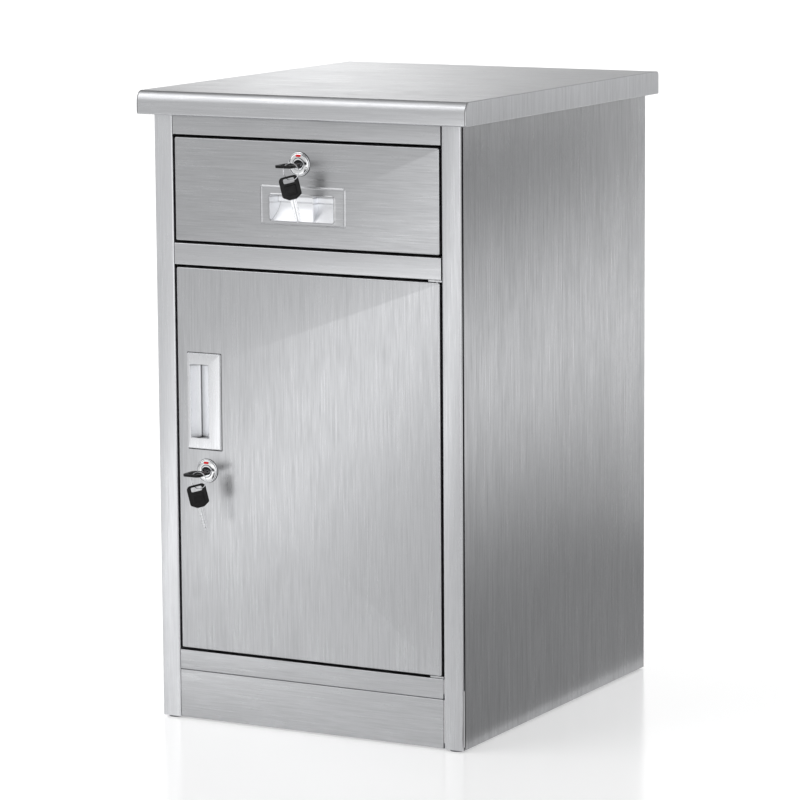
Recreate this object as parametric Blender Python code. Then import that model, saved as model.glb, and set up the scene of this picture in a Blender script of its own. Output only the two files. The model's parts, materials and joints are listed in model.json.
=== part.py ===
"""Bedside cabinet for a hospital ward: a folded stainless-steel carcass under an
overhanging worktop, with one drawer on telescopic slides, one door on pivot pins,
recessed pulls, and a cam lock with two keys on each front.

Units are metres. +Z is up, the front faces -Y, and +X is to the right as seen from
the front. The origin is on the floor, under the middle of the whole object's box.
"""

import math

import bmesh
import bpy
from mathutils import Matrix, Vector

# Driving dimensions
WIDTH = 0.410           # body, without the worktop's overhang
DEPTH = 0.500
HEIGHT = 0.732          # floor to the worktop's underside
TOP_THICK = 0.028
TOP_SIDE = 0.015        # worktop overhangs: left and right, front, back
TOP_FRONT = 0.015
TOP_BACK = 0.005
TOP_ROUND = 0.008       # radius of the worktop's front and back upper edges
SHEET = 0.0012          # all folded steel
GAP = 0.0003            # between pieces that touch
REVEAL = 0.003          # visible joint around the drawer and the door
POST = 0.025            # width of the front posts
FOLD = 0.020            # depth of posts, rails, drawer front and door
LINER = 0.0252          # inner liner's face, from the body's side
LINER_START = 0.030     # the liners leave room for the door lock's cam

# Heights above the floor
BODY_BOTTOM = 0.002
KICK_TOP = 0.061
BOTTOM_RAIL_TOP = 0.0855
MIDDLE_RAIL = (0.5535, 0.5795)
UPPER_RAIL_BOTTOM = 0.7085
DIVIDER_HEIGHT = 0.560
SHELF_HEIGHT = 0.318
SHELF_EDGE = 0.018
DRAWER_FLOOR = 0.592
DRAWER_WALL = 0.098
SLIDE_HEIGHT = 0.640

# Lock positions: from the body's left side, above the floor
DRAWER_LOCK = (0.1985, 0.680)
DOOR_LOCK = (0.0673, 0.3074)
DRAWER_CAM = 0.036      # reach of each cam from its lock's axis
DOOR_CAM = 0.050

# Recessed pulls: left, right, bottom, top of the flange, then of the finger opening
DRAWER_PULL = (0.145, 0.260, 0.6075, 0.654)
DRAWER_PULL_MOUTH = (0.158, 0.244, 0.6125, 0.6425)
DOOR_PULL = (0.042, 0.088, 0.333, 0.449)
DOOR_PULL_MOUTH = (0.046, 0.072, 0.3465, 0.4355)
PULL_DEPTH = 0.014

# Door pivots: from the door's right edge and behind its face
PIVOT_INSET = 0.006
PIN_RADIUS = 0.0025

# Keys and locks, from the panel's face and the lock's axis
FACE_RADIUS = 0.0142
FACE_PROUD = 0.003
BARREL_RADIUS = 0.009
PLUG_RADIUS = 0.007
BARREL_LENGTH = 0.021
CAM_PLACE = 0.0235
BOW_WIDTH = 0.023
BOW_LENGTH = 0.0277
BOW_THICK = 0.0032
BOW_START = 0.0123      # the plastic head begins this far in front of the panel
BLADE_WIDTH = 0.0076
BLADE_THICK = 0.002
BLADE_END = 0.017       # how far the blade reaches behind the panel's face
WINDOW = (0.011, 0.005)  # slot in the inserted key's head
SPARE_WINDOW = (0.013, 0.005)
WINDOW_RIM = 0.003
RING_RADIUS = 0.010
WIRE_RADIUS = 0.0006
RING_DROP = 0.0055      # ring's centre below the rim that it hangs on
SPARE_TILT = 13         # degrees that the spare key leans, and faces to the right
SPARE_FACING = 35
SPARE_OFFSET = 0.0028   # the ring runs off the spare key's centre line

KEY_REACH = 0.0439      # spare key's foremost point in front of the panel
FRONT = (KEY_REACH - DEPTH - TOP_BACK) / 2
TURN = 28               # sides of a round piece

MATERIALS = {
    "brushed_steel": ((0.62, 0.63, 0.64), 0.34, 1.0),
    "zinc_steel": ((0.52, 0.54, 0.56), 0.42, 1.0),
    "polished_chrome": ((0.80, 0.81, 0.83), 0.10, 1.0),
    "key_steel": ((0.70, 0.70, 0.70), 0.22, 1.0),
    "black_plastic": ((0.012, 0.012, 0.013), 0.38, 0.0),
    "grey_plastic": ((0.20, 0.20, 0.21), 0.55, 0.0),
    "board": ((0.48, 0.36, 0.23), 0.80, 0.0),
}


# Planes: each takes a point (u, v) in a section and a distance w along its normal

def facing(u, v, w):
    """Front view: u across, v up, w backwards, measured from the body's left front edge."""
    return Vector((u - WIDTH / 2, FRONT + w, v))


def plan(u, v, w):
    """View from above: u across, v backwards, w up."""
    return Vector((u - WIDTH / 2, FRONT + v, w))


def section(u, v, w):
    """View from the side: u backwards, v up, w across."""
    return Vector((w - WIDTH / 2, FRONT + u, v))


def local_front(u, v, w):
    """Front view about a lock's own axis."""
    return Vector((u, w, v))


def local_plan(u, v, w):
    """View from above about a lock's own axis."""
    return Vector((u, v, w))


# Outlines

def box(left, right, low, high, radius=0.0, steps=3):
    """A rectangle's points, anticlockwise, its corners as arcs if it has a radius."""
    if not radius:
        return [(left, low), (right, low), (right, high), (left, high)]
    centres = (
        (left + radius, low + radius, 180),
        (right - radius, low + radius, 270),
        (right - radius, high - radius, 0),
        (left + radius, high - radius, 90),
    )
    return [arc_point(x, z, radius, start + 90 * i / steps)
            for x, z, start in centres for i in range(steps + 1)]


def arc_point(x, y, radius, degrees):
    """The point at an angle on a circle."""
    angle = math.radians(degrees)
    return (x + radius * math.cos(angle), y + radius * math.sin(angle))


def circle(x, y, radius, count=TURN):
    """A circle's points, anticlockwise."""
    return [arc_point(x, y, radius, 360 * i / count) for i in range(count)]


def inset(rectangle, by):
    """The limits of a rectangle moved inwards."""
    left, right, low, high = rectangle
    return (left + by, right - by, low + by, high - by)


def mirrored(outline):
    """An outline turned over to the body's other side."""
    return [(WIDTH - x, y) for x, y in outline]


# Bodies

def fill(bm, rings):
    """Closes a flat outline, less the holes whose rings follow it."""
    edges = []
    for ring in rings:
        for a, b in zip(ring, ring[1:] + ring[:1]):
            edges.append(bm.edges.get((a, b)) or bm.edges.new((a, b)))
    bmesh.ops.triangle_fill(bm, edges=edges, use_beauty=True)


def bridge(bm, first, second):
    """Walls between two rings with the same number of points."""
    for i, point in enumerate(first):
        bm.faces.new((first[i - 1], point, second[i], second[i - 1]))


def ring_at(bm, outline, place, plane):
    """A ring of vertices on a plane."""
    return [bm.verts.new(plane(u, v, place)) for u, v in outline]


def prism(name, material, outline, start, end, plane, holes=(), frame=None):
    """The outline, less its holes, carried straight from start to end."""
    bm = bmesh.new()
    ends = []
    for place in (start, end):
        rings = [ring_at(bm, loop, place, plane) for loop in (outline, *holes)]
        fill(bm, rings)
        ends.append(rings)
    for first, second in zip(*ends):
        bridge(bm, first, second)
    return finish(bm, name, material, frame)


def pan(name, material, limits, face, rim, plane, holes=(), frame=None, radius=0.0015):
    """A folded tray: a sheet with returns on all four sides, open at its rim."""
    bm = bmesh.new()
    sheet = math.copysign(SHEET, rim - face)
    outer = box(*limits, radius)
    inner = box(*inset(limits, SHEET), radius - SHEET)
    front = [ring_at(bm, loop, face, plane) for loop in (outer, *holes)]
    back = [ring_at(bm, loop, face + sheet, plane) for loop in (inner, *holes)]
    outer_rim = ring_at(bm, outer, rim, plane)
    inner_rim = ring_at(bm, inner, rim, plane)
    fill(bm, front)
    fill(bm, back)
    for first, second in zip(front[1:], back[1:]):
        bridge(bm, first, second)
    bridge(bm, front[0], outer_rim)
    bridge(bm, outer_rim, inner_rim)
    bridge(bm, inner_rim, back[0])
    return finish(bm, name, material, frame)


def stack(name, material, layers, plane, closed=False, frame=None):
    """Rings joined one after the other; the ends are filled, or joined if closed."""
    bm = bmesh.new()
    rings = [ring_at(bm, outline, place, plane) for outline, place in layers]
    for first, second in zip(rings, rings[1:]):
        bridge(bm, first, second)
    if closed:
        bridge(bm, rings[-1], rings[0])
    else:
        fill(bm, [rings[0]])
        fill(bm, [rings[-1]])
    return finish(bm, name, material, frame)


def finish(bm, name, material, frame):
    """Turns the faces outwards and makes the object, about its joint's frame."""
    bmesh.ops.recalc_face_normals(bm, faces=bm.faces)
    mesh = bpy.data.meshes.new(name)
    bm.to_mesh(mesh)
    bm.free()
    mesh.shade_smooth()
    mesh.set_sharp_from_angle(angle=math.radians(35))
    mesh.materials.append(bpy.data.materials[material])
    thing = bpy.data.objects.new(name, mesh)
    bpy.context.collection.objects.link(thing)
    if frame:
        if not frame.get("local"):
            mesh.transform(Matrix.Translation(-Vector(frame["place"])))
        thing.parent = frame
    return thing


def joint_frame(name, place, parent=None, local=False, rotation=(0, 0, 0)):
    """An empty on a joint's axis. Pieces of a local frame are drawn about it."""
    empty = bpy.data.objects.new(name, None)
    empty["place"] = tuple(place)
    empty["local"] = local
    empty.location = Vector(place) - (Vector(parent["place"]) if parent else Vector())
    empty.rotation_euler = [math.radians(angle) for angle in rotation]
    empty.parent = parent
    bpy.context.collection.objects.link(empty)
    return empty


def cut(thing, cutter):
    """Takes a hidden cutter's shape out of a piece."""
    cutter.hide_render = True
    cutter.display_type = "WIRE"
    modifier = thing.modifiers.new(cutter.name, "BOOLEAN")
    modifier.operation = "DIFFERENCE"
    modifier.solver = "EXACT"
    modifier.object = cutter


# Carcass

def channel(bottom, top):
    """A rail's section: its face in front, a flange above and one below."""
    return [(0, bottom), (FOLD, bottom), (FOLD, bottom + SHEET), (SHEET, bottom + SHEET),
            (SHEET, top - SHEET), (FOLD, top - SHEET), (FOLD, top), (0, top)]


def top_profile(by):
    """The worktop seen from the side, moved inwards: both upper edges are rounded."""
    front, back = -TOP_FRONT + by, DEPTH + TOP_BACK - by
    top = HEIGHT + TOP_THICK - by
    radius = TOP_ROUND - by
    rounded_back = [arc_point(back - radius, top - radius, radius, 15 * i) for i in range(7)]
    rounded_front = [arc_point(front + radius, top - radius, radius, 90 + 15 * i) for i in range(7)]
    return [(front, HEIGHT), (back, HEIGHT)] + rounded_back + rounded_front


def make_worktop():
    """A folded steel cover over a board."""
    left, right = -TOP_SIDE, WIDTH + TOP_SIDE
    cover = prism("worktop", "brushed_steel", top_profile(0), left, right, section)
    hollow = [(u, v - SHEET) if v == HEIGHT else (u, v) for u, v in top_profile(SHEET)]
    cut(cover, prism("worktop_hollow", "brushed_steel", hollow, left + SHEET, right - SHEET, section))
    inner = SHEET + GAP
    prism("worktop_core", "board", top_profile(inner), left + inner, right - inner, section)


def make_shell():
    """Side panels, whose backs fold into rear columns, and the back panel."""
    top = HEIGHT - GAP
    back = DEPTH - SHEET - GAP
    start = SHEET + GAP
    side = [(0, start), (SHEET, start), (SHEET, back - SHEET), (POST - SHEET, back - SHEET),
            (POST - SHEET, back - FOLD), (POST, back - FOLD), (POST, back), (0, back)]
    prism("side_panel_left", "brushed_steel", side, BODY_BOTTOM, top, plan)
    prism("side_panel_right", "brushed_steel", mirrored(side), BODY_BOTTOM, top, plan)
    limits = (SHEET + GAP, WIDTH - SHEET - GAP, BODY_BOTTOM, top)
    prism("back_panel", "brushed_steel", box(*limits), DEPTH - SHEET, DEPTH, facing)


def make_front_frame():
    """Two posts and four cross members."""
    lip = POST / 2
    post = [(0, 0), (POST, 0), (POST, FOLD), (lip, FOLD), (lip, FOLD - SHEET),
            (POST - SHEET, FOLD - SHEET), (POST - SHEET, SHEET), (0, SHEET)]
    prism("front_post_left", "brushed_steel", post, BODY_BOTTOM, HEIGHT - GAP, plan)
    prism("front_post_right", "brushed_steel", mirrored(post), BODY_BOTTOM, HEIGHT - GAP, plan)
    members = {
        "kick_plate": (BODY_BOTTOM + GAP, KICK_TOP),
        "bottom_rail": (KICK_TOP + GAP, BOTTOM_RAIL_TOP),
        "middle_rail": MIDDLE_RAIL,
        "upper_rail": (UPPER_RAIL_BOTTOM, HEIGHT - GAP),
    }
    for name, (bottom, top) in members.items():
        prism(name, "brushed_steel", channel(bottom, top), POST + GAP, WIDTH - POST - GAP, section)


def make_interior():
    """Liners, floor, divider and shelf with its two rests."""
    back = DEPTH - SHEET - GAP
    behind = back - FOLD - GAP
    liner = [(LINER - SHEET, LINER_START), (LINER, LINER_START), (LINER, behind), (LINER - SHEET, behind)]
    inner = LINER + GAP
    rest_top = SHELF_HEIGHT - SHELF_EDGE - GAP
    rest_size = 0.014
    rest = [(inner, rest_top - rest_size), (inner + SHEET, rest_top - rest_size),
            (inner + SHEET, rest_top - SHEET), (inner + rest_size, rest_top - SHEET),
            (inner + rest_size, rest_top), (inner, rest_top)]
    shelf_front, shelf_back = 0.048, 0.472
    for side, turn in (("left", list), ("right", mirrored)):
        prism(f"liner_{side}", "brushed_steel", turn(liner), KICK_TOP, HEIGHT - GAP, plan)
        prism(f"shelf_rest_{side}", "zinc_steel", turn(rest), shelf_front, shelf_back, facing)
    across = (inner, WIDTH - inner, FOLD + GAP, back - GAP)
    prism("floor_panel", "brushed_steel", box(*across),
          BOTTOM_RAIL_TOP - GAP - SHEET, BOTTOM_RAIL_TOP - GAP, plan)
    prism("divider_panel", "brushed_steel", box(*across), DIVIDER_HEIGHT, DIVIDER_HEIGHT + SHEET, plan)
    edge = inner + 0.002
    pan("shelf", "brushed_steel", (edge, WIDTH - edge, shelf_front, shelf_back),
        SHELF_HEIGHT, SHELF_HEIGHT - SHELF_EDGE, plan)


def make_glides():
    """Four plastic glides pushed into the columns' open lower ends."""
    stem, pad = 0.0078, 0.0092
    pad_top = BODY_BOTTOM - GAP
    front, back = FOLD / 2, DEPTH - SHEET - GAP - FOLD / 2 - SHEET / 2
    for row, depth in (("front", front), ("rear", back)):
        for side, across in (("left", POST / 2), ("right", WIDTH - POST / 2)):
            layers = [(circle(across, depth, pad - 0.0006), 0), (circle(across, depth, pad), 0.0006),
                      (circle(across, depth, pad), pad_top), (circle(across, depth, stem), pad_top),
                      (circle(across, depth, stem - 0.0008), 0.020)]
            stack(f"glide_{row}_{side}", "grey_plastic", layers, plan)


# Drawer

def slide_member(inner, outer, half, towards_drawer):
    """A slide's section: a web with a flange above and below, open to one side."""
    web = inner + SHEET if towards_drawer else outer - SHEET
    tip, heel = (outer, inner) if towards_drawer else (inner, outer)
    low, high = SLIDE_HEIGHT - half, SLIDE_HEIGHT + half
    return [(heel, low), (tip, low), (tip, low + SHEET), (web, low + SHEET),
            (web, high - SHEET), (tip, high - SHEET), (tip, high), (heel, high)]


def make_slides(drawer, middle):
    """Telescopic slides: outer members on the liners, middle ones, inner ones on the drawer."""
    start = LINER + GAP
    members = (
        ("slide_outer", slide_member(start, start + 0.010, 0.0175, True), 0.031, 0.477, None),
        ("slide_middle", slide_member(start + 0.0022, start + 0.010, 0.0146, True), 0.033, 0.470, middle),
        ("slide_inner", slide_member(start + 0.0055, start + 0.0129, 0.0110, False), 0.0215, 0.452, drawer),
    )
    for name, outline, front, back, frame in members:
        prism(f"{name}_left", "zinc_steel", outline, front, back, facing, frame=frame)
        prism(f"{name}_right", "zinc_steel", mirrored(outline), front, back, facing, frame=frame)


def lock_hole(lock, radius=BARREL_RADIUS + GAP):
    """The round hole for a lock's barrel."""
    return circle(*lock, radius)


def make_drawer(drawer):
    """A folded front with its inner sheet, and a box of four walls and a floor."""
    left, right = POST + REVEAL, WIDTH - POST - REVEAL
    limits = (left, right, MIDDLE_RAIL[1] + REVEAL, UPPER_RAIL_BOTTOM - REVEAL)
    recess = box(*inset(DRAWER_PULL_MOUTH, -SHEET - GAP), 0.004)
    pan("drawer_front", "brushed_steel", limits, 0, FOLD, facing,
        holes=(recess, lock_hole(DRAWER_LOCK)), frame=drawer)
    prism("drawer_inner_front", "brushed_steel", box(*inset(limits, SHEET + GAP)),
          FOLD - SHEET, FOLD, facing, holes=(lock_hole(DRAWER_LOCK),), frame=drawer)
    wall = LINER + 2 * GAP + 0.0129
    start, end = FOLD + GAP, 0.450
    top = DRAWER_FLOOR + DRAWER_WALL
    side = box(wall, wall + SHEET, start, end)
    prism("drawer_side_left", "brushed_steel", side, DRAWER_FLOOR, top, plan, frame=drawer)
    prism("drawer_side_right", "brushed_steel", mirrored(side), DRAWER_FLOOR, top, plan, frame=drawer)
    inner = wall + SHEET + GAP
    prism("drawer_bottom", "brushed_steel", box(inner, WIDTH - inner, start, end),
          DRAWER_FLOOR, DRAWER_FLOOR + SHEET, plan, frame=drawer)
    prism("drawer_back", "brushed_steel", box(inner, WIDTH - inner, DRAWER_FLOOR + SHEET + GAP, top),
          end - SHEET, end, facing, frame=drawer)
    make_pull("drawer_pull", DRAWER_PULL, DRAWER_PULL_MOUTH, 0.0012, 0.0030, drawer)


def make_pull(name, flange, mouth, proud, radius, frame):
    """A recessed pull: a flange on the panel's face around a shallow finger cup."""
    edge = 0.0008
    rim = box(*flange, radius)
    rim_top = box(*inset(flange, edge), radius - edge / 2)
    opening = box(*mouth, 0.003)
    floor = box(*inset(mouth, 0.002), 0.002)
    outside = box(*inset(mouth, -SHEET), 0.004)
    layers = [(floor, PULL_DEPTH), (opening, -proud), (rim_top, -proud), (rim, -proud + edge),
              (rim, -GAP), (outside, -GAP), (outside, PULL_DEPTH + SHEET)]
    stack(name, "polished_chrome", layers, facing, frame=frame)


# Door

def make_door(door):
    """A folded door with its inner sheet, turning on two pivot pins."""
    left, right = POST + REVEAL, WIDTH - POST - REVEAL
    limits = (left, right, BOTTOM_RAIL_TOP + REVEAL, MIDDLE_RAIL[0] - REVEAL)
    recess = box(*inset(DOOR_PULL_MOUTH, -SHEET - GAP), 0.004)
    outer = pan("door_outer", "brushed_steel", limits, 0, FOLD, facing,
                holes=(recess, lock_hole(DOOR_LOCK)), frame=door)
    prism("door_inner", "brushed_steel", box(*inset(limits, SHEET + GAP)),
          FOLD - SHEET, FOLD, facing, holes=(lock_hole(DOOR_LOCK),), frame=door)
    make_pull("door_pull", DOOR_PULL, DOOR_PULL_MOUTH, 0.0025, 0.0030, door)
    across = right - PIVOT_INSET
    hole = circle(across, PIVOT_INSET, PIN_RADIUS + GAP, 16)
    for end, height in (("top", limits[3]), ("bottom", limits[2])):
        cut(outer, prism(f"pivot_cutter_{end}", "brushed_steel", hole,
                         height - 0.004, height + 0.004, plan, frame=door))
    make_pivot("hinge_pivot_top", across, MIDDLE_RAIL[0] - GAP, -1)
    make_pivot("hinge_pivot_bottom", across, BOTTOM_RAIL_TOP + GAP, 1)


def make_pivot(name, across, height, way):
    """A small plate fixed to a rail, with the pin that the door turns on."""
    plate = 0.002 * way
    pin = 0.012 * way
    outline = box(across - 0.010, across + 0.0080, 0.0020, 0.0160, 0.0008, 4)
    outline = outline[-2:] + outline[:-2]
    round_pin = [arc_point(across, PIVOT_INSET, PIN_RADIUS, 225 - 36 + 360 * i / len(outline))
                 for i in range(len(outline))]
    layers = [(outline, height), (outline, height + plate),
              (round_pin, height + plate), (round_pin, height + pin)]
    stack(name, "zinc_steel", layers, plan)


# Locks and keys. Each set is drawn about the lock's axis, where it meets the panel.

def make_lock(prefix, lock, cam_angle, cam_reach, panel):
    """Housing and nut on the panel, plug and cam that turn, the key in it and the spare."""
    axis = facing(*lock, 0)
    fixed = joint_frame(f"{prefix}_lock_seat", axis, panel, True)
    turning = joint_frame(f"{prefix}_lock_axis", axis, panel, True)
    key = joint_frame(f"{prefix}_key_axis", axis, turning, True)
    make_housing(prefix, fixed)
    make_plug(prefix, turning)
    make_cam(prefix, cam_angle, cam_reach, turning)
    make_inserted_key(prefix, key)
    make_ring_and_spare(prefix, axis, key)


def make_housing(prefix, frame):
    """A chrome face on a barrel, bored through for the plug, and the nut behind the sheet."""
    bore = PLUG_RADIUS + GAP
    profile = [(bore, -FACE_PROUD), (0.0118, -FACE_PROUD), (0.0136, -0.0022), (FACE_RADIUS, -0.0012),
               (FACE_RADIUS, -GAP), (BARREL_RADIUS, -GAP), (BARREL_RADIUS, BARREL_LENGTH),
               (bore, BARREL_LENGTH)]
    layers = [(circle(0, 0, radius), depth) for radius, depth in profile]
    stack(f"{prefix}_lock_housing", "polished_chrome", layers, local_front, True, frame)
    start = SHEET + GAP
    prism(f"{prefix}_lock_nut", "zinc_steel", circle(0, 0, 0.0135, 6), start, start + 0.004,
          local_front, holes=(circle(0, 0, BARREL_RADIUS + GAP),), frame=frame)


def make_plug(prefix, frame):
    """The part that the key turns: a keyway in front, a small shaft for the cam behind."""
    bm = bmesh.new()
    clear = 2 * GAP
    slot = box(-BLADE_WIDTH / 2 - clear, BLADE_WIDTH / 2 + clear,
               -BLADE_THICK / 2 - clear, BLADE_THICK / 2 + clear)
    body, shaft = circle(0, 0, PLUG_RADIUS), circle(0, 0, PLUG_RADIUS / 2)
    front = [ring_at(bm, loop, -FACE_PROUD - GAP, local_front) for loop in (body, slot)]
    floor = ring_at(bm, slot, BLADE_END + 2 * GAP, local_front)
    back = [ring_at(bm, loop, place, local_front) for loop, place in (
        (body, BARREL_LENGTH + GAP), (shaft, BARREL_LENGTH + GAP), (shaft, 0.027))]
    fill(bm, front)
    bridge(bm, front[1], floor)
    fill(bm, [floor])
    bridge(bm, front[0], back[0])
    bridge(bm, back[0], back[1])
    bridge(bm, back[1], back[2])
    fill(bm, [back[2]])
    finish(bm, f"{prefix}_lock_plug", "polished_chrome", frame)


def make_cam(prefix, angle, reach, frame):
    """The latch arm behind the panel: round about the shaft, with a rounded tip."""
    wide, narrow = 0.0080, 0.0055
    outline = [arc_point(0, 0, wide, angle + 45 + 15 * i) for i in range(19)]
    tip = arc_point(0, 0, reach - narrow, angle)
    outline += [arc_point(*tip, narrow, angle - 90 + 22.5 * i) for i in range(9)]
    prism(f"{prefix}_lock_cam", "zinc_steel", outline, CAM_PLACE, CAM_PLACE + 0.0018, local_front,
          holes=(circle(0, 0, PLUG_RADIUS / 2 + GAP),), frame=frame)


def bow_outline(centre, start, way):
    """A key's plastic head: straight sides, round outer corners, sloping shoulders."""
    half, corner = BOW_WIDTH / 2, 0.005
    end = start + way * BOW_LENGTH
    shoulder = start + way * 0.0045
    outer = end - way * corner
    left = [arc_point(centre - half + corner, outer, corner, 180 - way * 18 * i) for i in range(6)]
    right = [arc_point(centre + half - corner, outer, corner, way * (90 - 18 * i)) for i in range(6)]
    return [(centre - 0.0045, start), (centre - half, shoulder), *left, *right,
            (centre + half, shoulder), (centre + 0.0045, start)]


def blade_outline(centre, start, way, length):
    """A key's blade: a shoulder, cuts along both edges, and a pointed end."""
    half = BLADE_WIDTH / 2
    cuts = (0.0000, 0.0009, 0.0004, 0.0012, 0.0005)
    pitch = (length - 0.010) / len(cuts)
    right = [(centre + half, start)]
    for i, depth in enumerate(cuts):
        along = start + way * (0.008 + pitch * (i + 0.5))
        right.append((centre + half - depth, along))
    right.append((centre + half - 0.0026, start + way * length))
    left = [(2 * centre - u, v) for u, v in reversed(right)]
    return right + left


def make_inserted_key(prefix, frame):
    """The key in the lock, its head lying flat, with a slot near the outer end."""
    half = BOW_THICK / 2
    far = -BOW_START - BOW_LENGTH
    slot = box(-WINDOW[0] / 2, WINDOW[0] / 2, far + WINDOW_RIM, far + WINDOW_RIM + WINDOW[1], 0.0015)
    prism(f"{prefix}_key_bow", "black_plastic", bow_outline(0, -BOW_START, -1), -half, half,
          local_plan, holes=(slot,), frame=frame)
    start = -BOW_START + GAP
    half = BLADE_THICK / 2
    prism(f"{prefix}_key_blade", "key_steel", blade_outline(0, start, 1, BLADE_END - start),
          -half, half, local_plan, frame=frame)


def make_ring_and_spare(prefix, axis, key):
    """The wire ring on one side of the inserted key's slot, and the key that hangs on it."""
    rim = (WINDOW[0] + BOW_WIDTH) / 4
    slot = -BOW_START - BOW_LENGTH + WINDOW_RIM + WINDOW[1] / 2
    pivot = axis + Vector((rim, slot, 0))
    ring = joint_frame(f"{prefix}_ring_axis", pivot, key, True)
    bm = bmesh.new()
    hoops = []
    for i in range(32):
        angle = 2 * math.pi * i / 32
        out = Vector((math.cos(angle), 0, math.sin(angle)))
        centre = out * RING_RADIUS - Vector((0, 0, RING_DROP))
        wire = circle(0, 0, WIRE_RADIUS, 8)
        hoops.append([bm.verts.new(centre + out * u + Vector((0, v, 0))) for u, v in wire])
    for first, second in zip(hoops, hoops[1:] + hoops[:1]):
        bridge(bm, first, second)
    finish(bm, f"{prefix}_key_ring", "key_steel", ring)

    hang = pivot - Vector((0, 0, RING_DROP + RING_RADIUS))
    spare = joint_frame(f"{prefix}_spare_axis", hang, ring, True, (0, -SPARE_TILT, SPARE_FACING))
    half = BOW_THICK / 2
    centre = -SPARE_OFFSET
    slot_top = SPARE_WINDOW[1] / 2 + 0.0001
    slot = box(centre - SPARE_WINDOW[0] / 2, centre + SPARE_WINDOW[0] / 2,
               slot_top - SPARE_WINDOW[1], slot_top, 0.0015)
    start = slot_top + WINDOW_RIM - BOW_LENGTH
    prism(f"{prefix}_spare_bow", "black_plastic", bow_outline(centre, start, 1), -half, half,
          local_front, holes=(slot,), frame=spare)
    half = BLADE_THICK / 2
    prism(f"{prefix}_spare_blade", "key_steel", blade_outline(centre, start - GAP, -1, 0.027),
          -half, half, local_front, frame=spare)


def make_materials():
    """One Principled material for each finish."""
    for name, (colour, roughness, metallic) in MATERIALS.items():
        material = bpy.data.materials.new(name)
        material.use_nodes = True
        shader = material.node_tree.nodes["Principled BSDF"]
        shader.inputs["Base Color"].default_value = (*colour, 1)
        shader.inputs["Roughness"].default_value = roughness
        shader.inputs["Metallic"].default_value = metallic


def main():
    """Clears the scene and builds the cabinet."""
    for thing in list(bpy.data.objects):
        bpy.data.objects.remove(thing, do_unlink=True)
    make_materials()
    drawer = joint_frame("drawer_frame", facing(WIDTH / 2, SLIDE_HEIGHT, 0))
    middle = joint_frame("slide_middle_frame", facing(WIDTH / 2, SLIDE_HEIGHT, 0))
    hinge = facing(WIDTH - POST - REVEAL - PIVOT_INSET, BOTTOM_RAIL_TOP, PIVOT_INSET)
    door = joint_frame("door_frame", hinge)
    make_worktop()
    make_shell()
    make_front_frame()
    make_interior()
    make_glides()
    make_slides(drawer, middle)
    make_drawer(drawer)
    make_door(door)
    make_lock("drawer", DRAWER_LOCK, 180, DRAWER_CAM, drawer)
    make_lock("door", DOOR_LOCK, 270, DOOR_CAM, door)


main()
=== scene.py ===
"""Looks for a hospital bedside cabinet: brushed stainless steel, chrome pulls and locks, keys.

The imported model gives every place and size. Each class below dresses one sub-assembly. New
pieces are surfaces worked out with numpy: a flat outline carried along an axis, or a row of
loops joined one after the other. Metres, +Z up, front towards -Y.
"""
import json
import logging
import math
from dataclasses import dataclass, field
from enum import Enum
from typing import Callable, Optional, Sequence

import bmesh
import bpy
import numpy as np
from mathutils import Euler, Matrix, Vector


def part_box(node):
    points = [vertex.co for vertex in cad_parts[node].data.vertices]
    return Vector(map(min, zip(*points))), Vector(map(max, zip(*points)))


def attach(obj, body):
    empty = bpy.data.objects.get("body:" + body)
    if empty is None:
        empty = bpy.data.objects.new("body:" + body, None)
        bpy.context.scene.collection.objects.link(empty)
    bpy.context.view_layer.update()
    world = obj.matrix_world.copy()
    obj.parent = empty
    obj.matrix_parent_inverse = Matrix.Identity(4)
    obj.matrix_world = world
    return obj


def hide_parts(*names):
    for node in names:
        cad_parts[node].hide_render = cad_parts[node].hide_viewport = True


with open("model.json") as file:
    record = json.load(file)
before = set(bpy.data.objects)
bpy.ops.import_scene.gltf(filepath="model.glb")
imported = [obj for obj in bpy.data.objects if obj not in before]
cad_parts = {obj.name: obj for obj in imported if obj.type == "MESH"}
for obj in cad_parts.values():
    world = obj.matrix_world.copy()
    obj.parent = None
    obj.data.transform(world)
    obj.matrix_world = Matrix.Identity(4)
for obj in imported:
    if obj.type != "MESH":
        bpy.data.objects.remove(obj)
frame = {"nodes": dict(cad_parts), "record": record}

log = logging.getLogger("bedside_cabinet")
Array = np.ndarray
MM = 0.001


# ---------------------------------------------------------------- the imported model's places

class Axis(Enum):
    """A direction that an outline is carried along."""

    X = 0
    Y = 1
    Z = 2


@dataclass(frozen=True)
class Limits:
    """The box of a CAD node at rest."""

    low: Array
    high: Array

    @classmethod
    def of(cls, node: str) -> "Limits":
        """Reads a node's box from the frame."""
        low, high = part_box(node)
        return cls(np.array(low), np.array(high))

    def across(self, axis: Axis) -> tuple[float, float]:
        """The box's two ends along an axis."""
        return float(self.low[axis.value]), float(self.high[axis.value])


def joint_place(name: str) -> Array:
    """The point that a hinge's axis runs through, at rest.

    Args:
        name: the joint's name in the record.

    Returns:
        The point in metres.
    """
    joints = {joint["name"]: joint for joint in frame["record"]["behaviour"]["joints"]}
    return np.array(joints[name]["pos_m"], float)


# ---------------------------------------------------------------- outlines

def unit(vectors: Array) -> Array:
    """Vectors at length one."""
    return vectors / np.linalg.norm(vectors, axis=-1, keepdims=True)


def left_of(vectors: Array) -> Array:
    """Flat vectors turned a quarter to the left."""
    return np.stack([-vectors[..., 1], vectors[..., 0]], -1)


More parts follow.
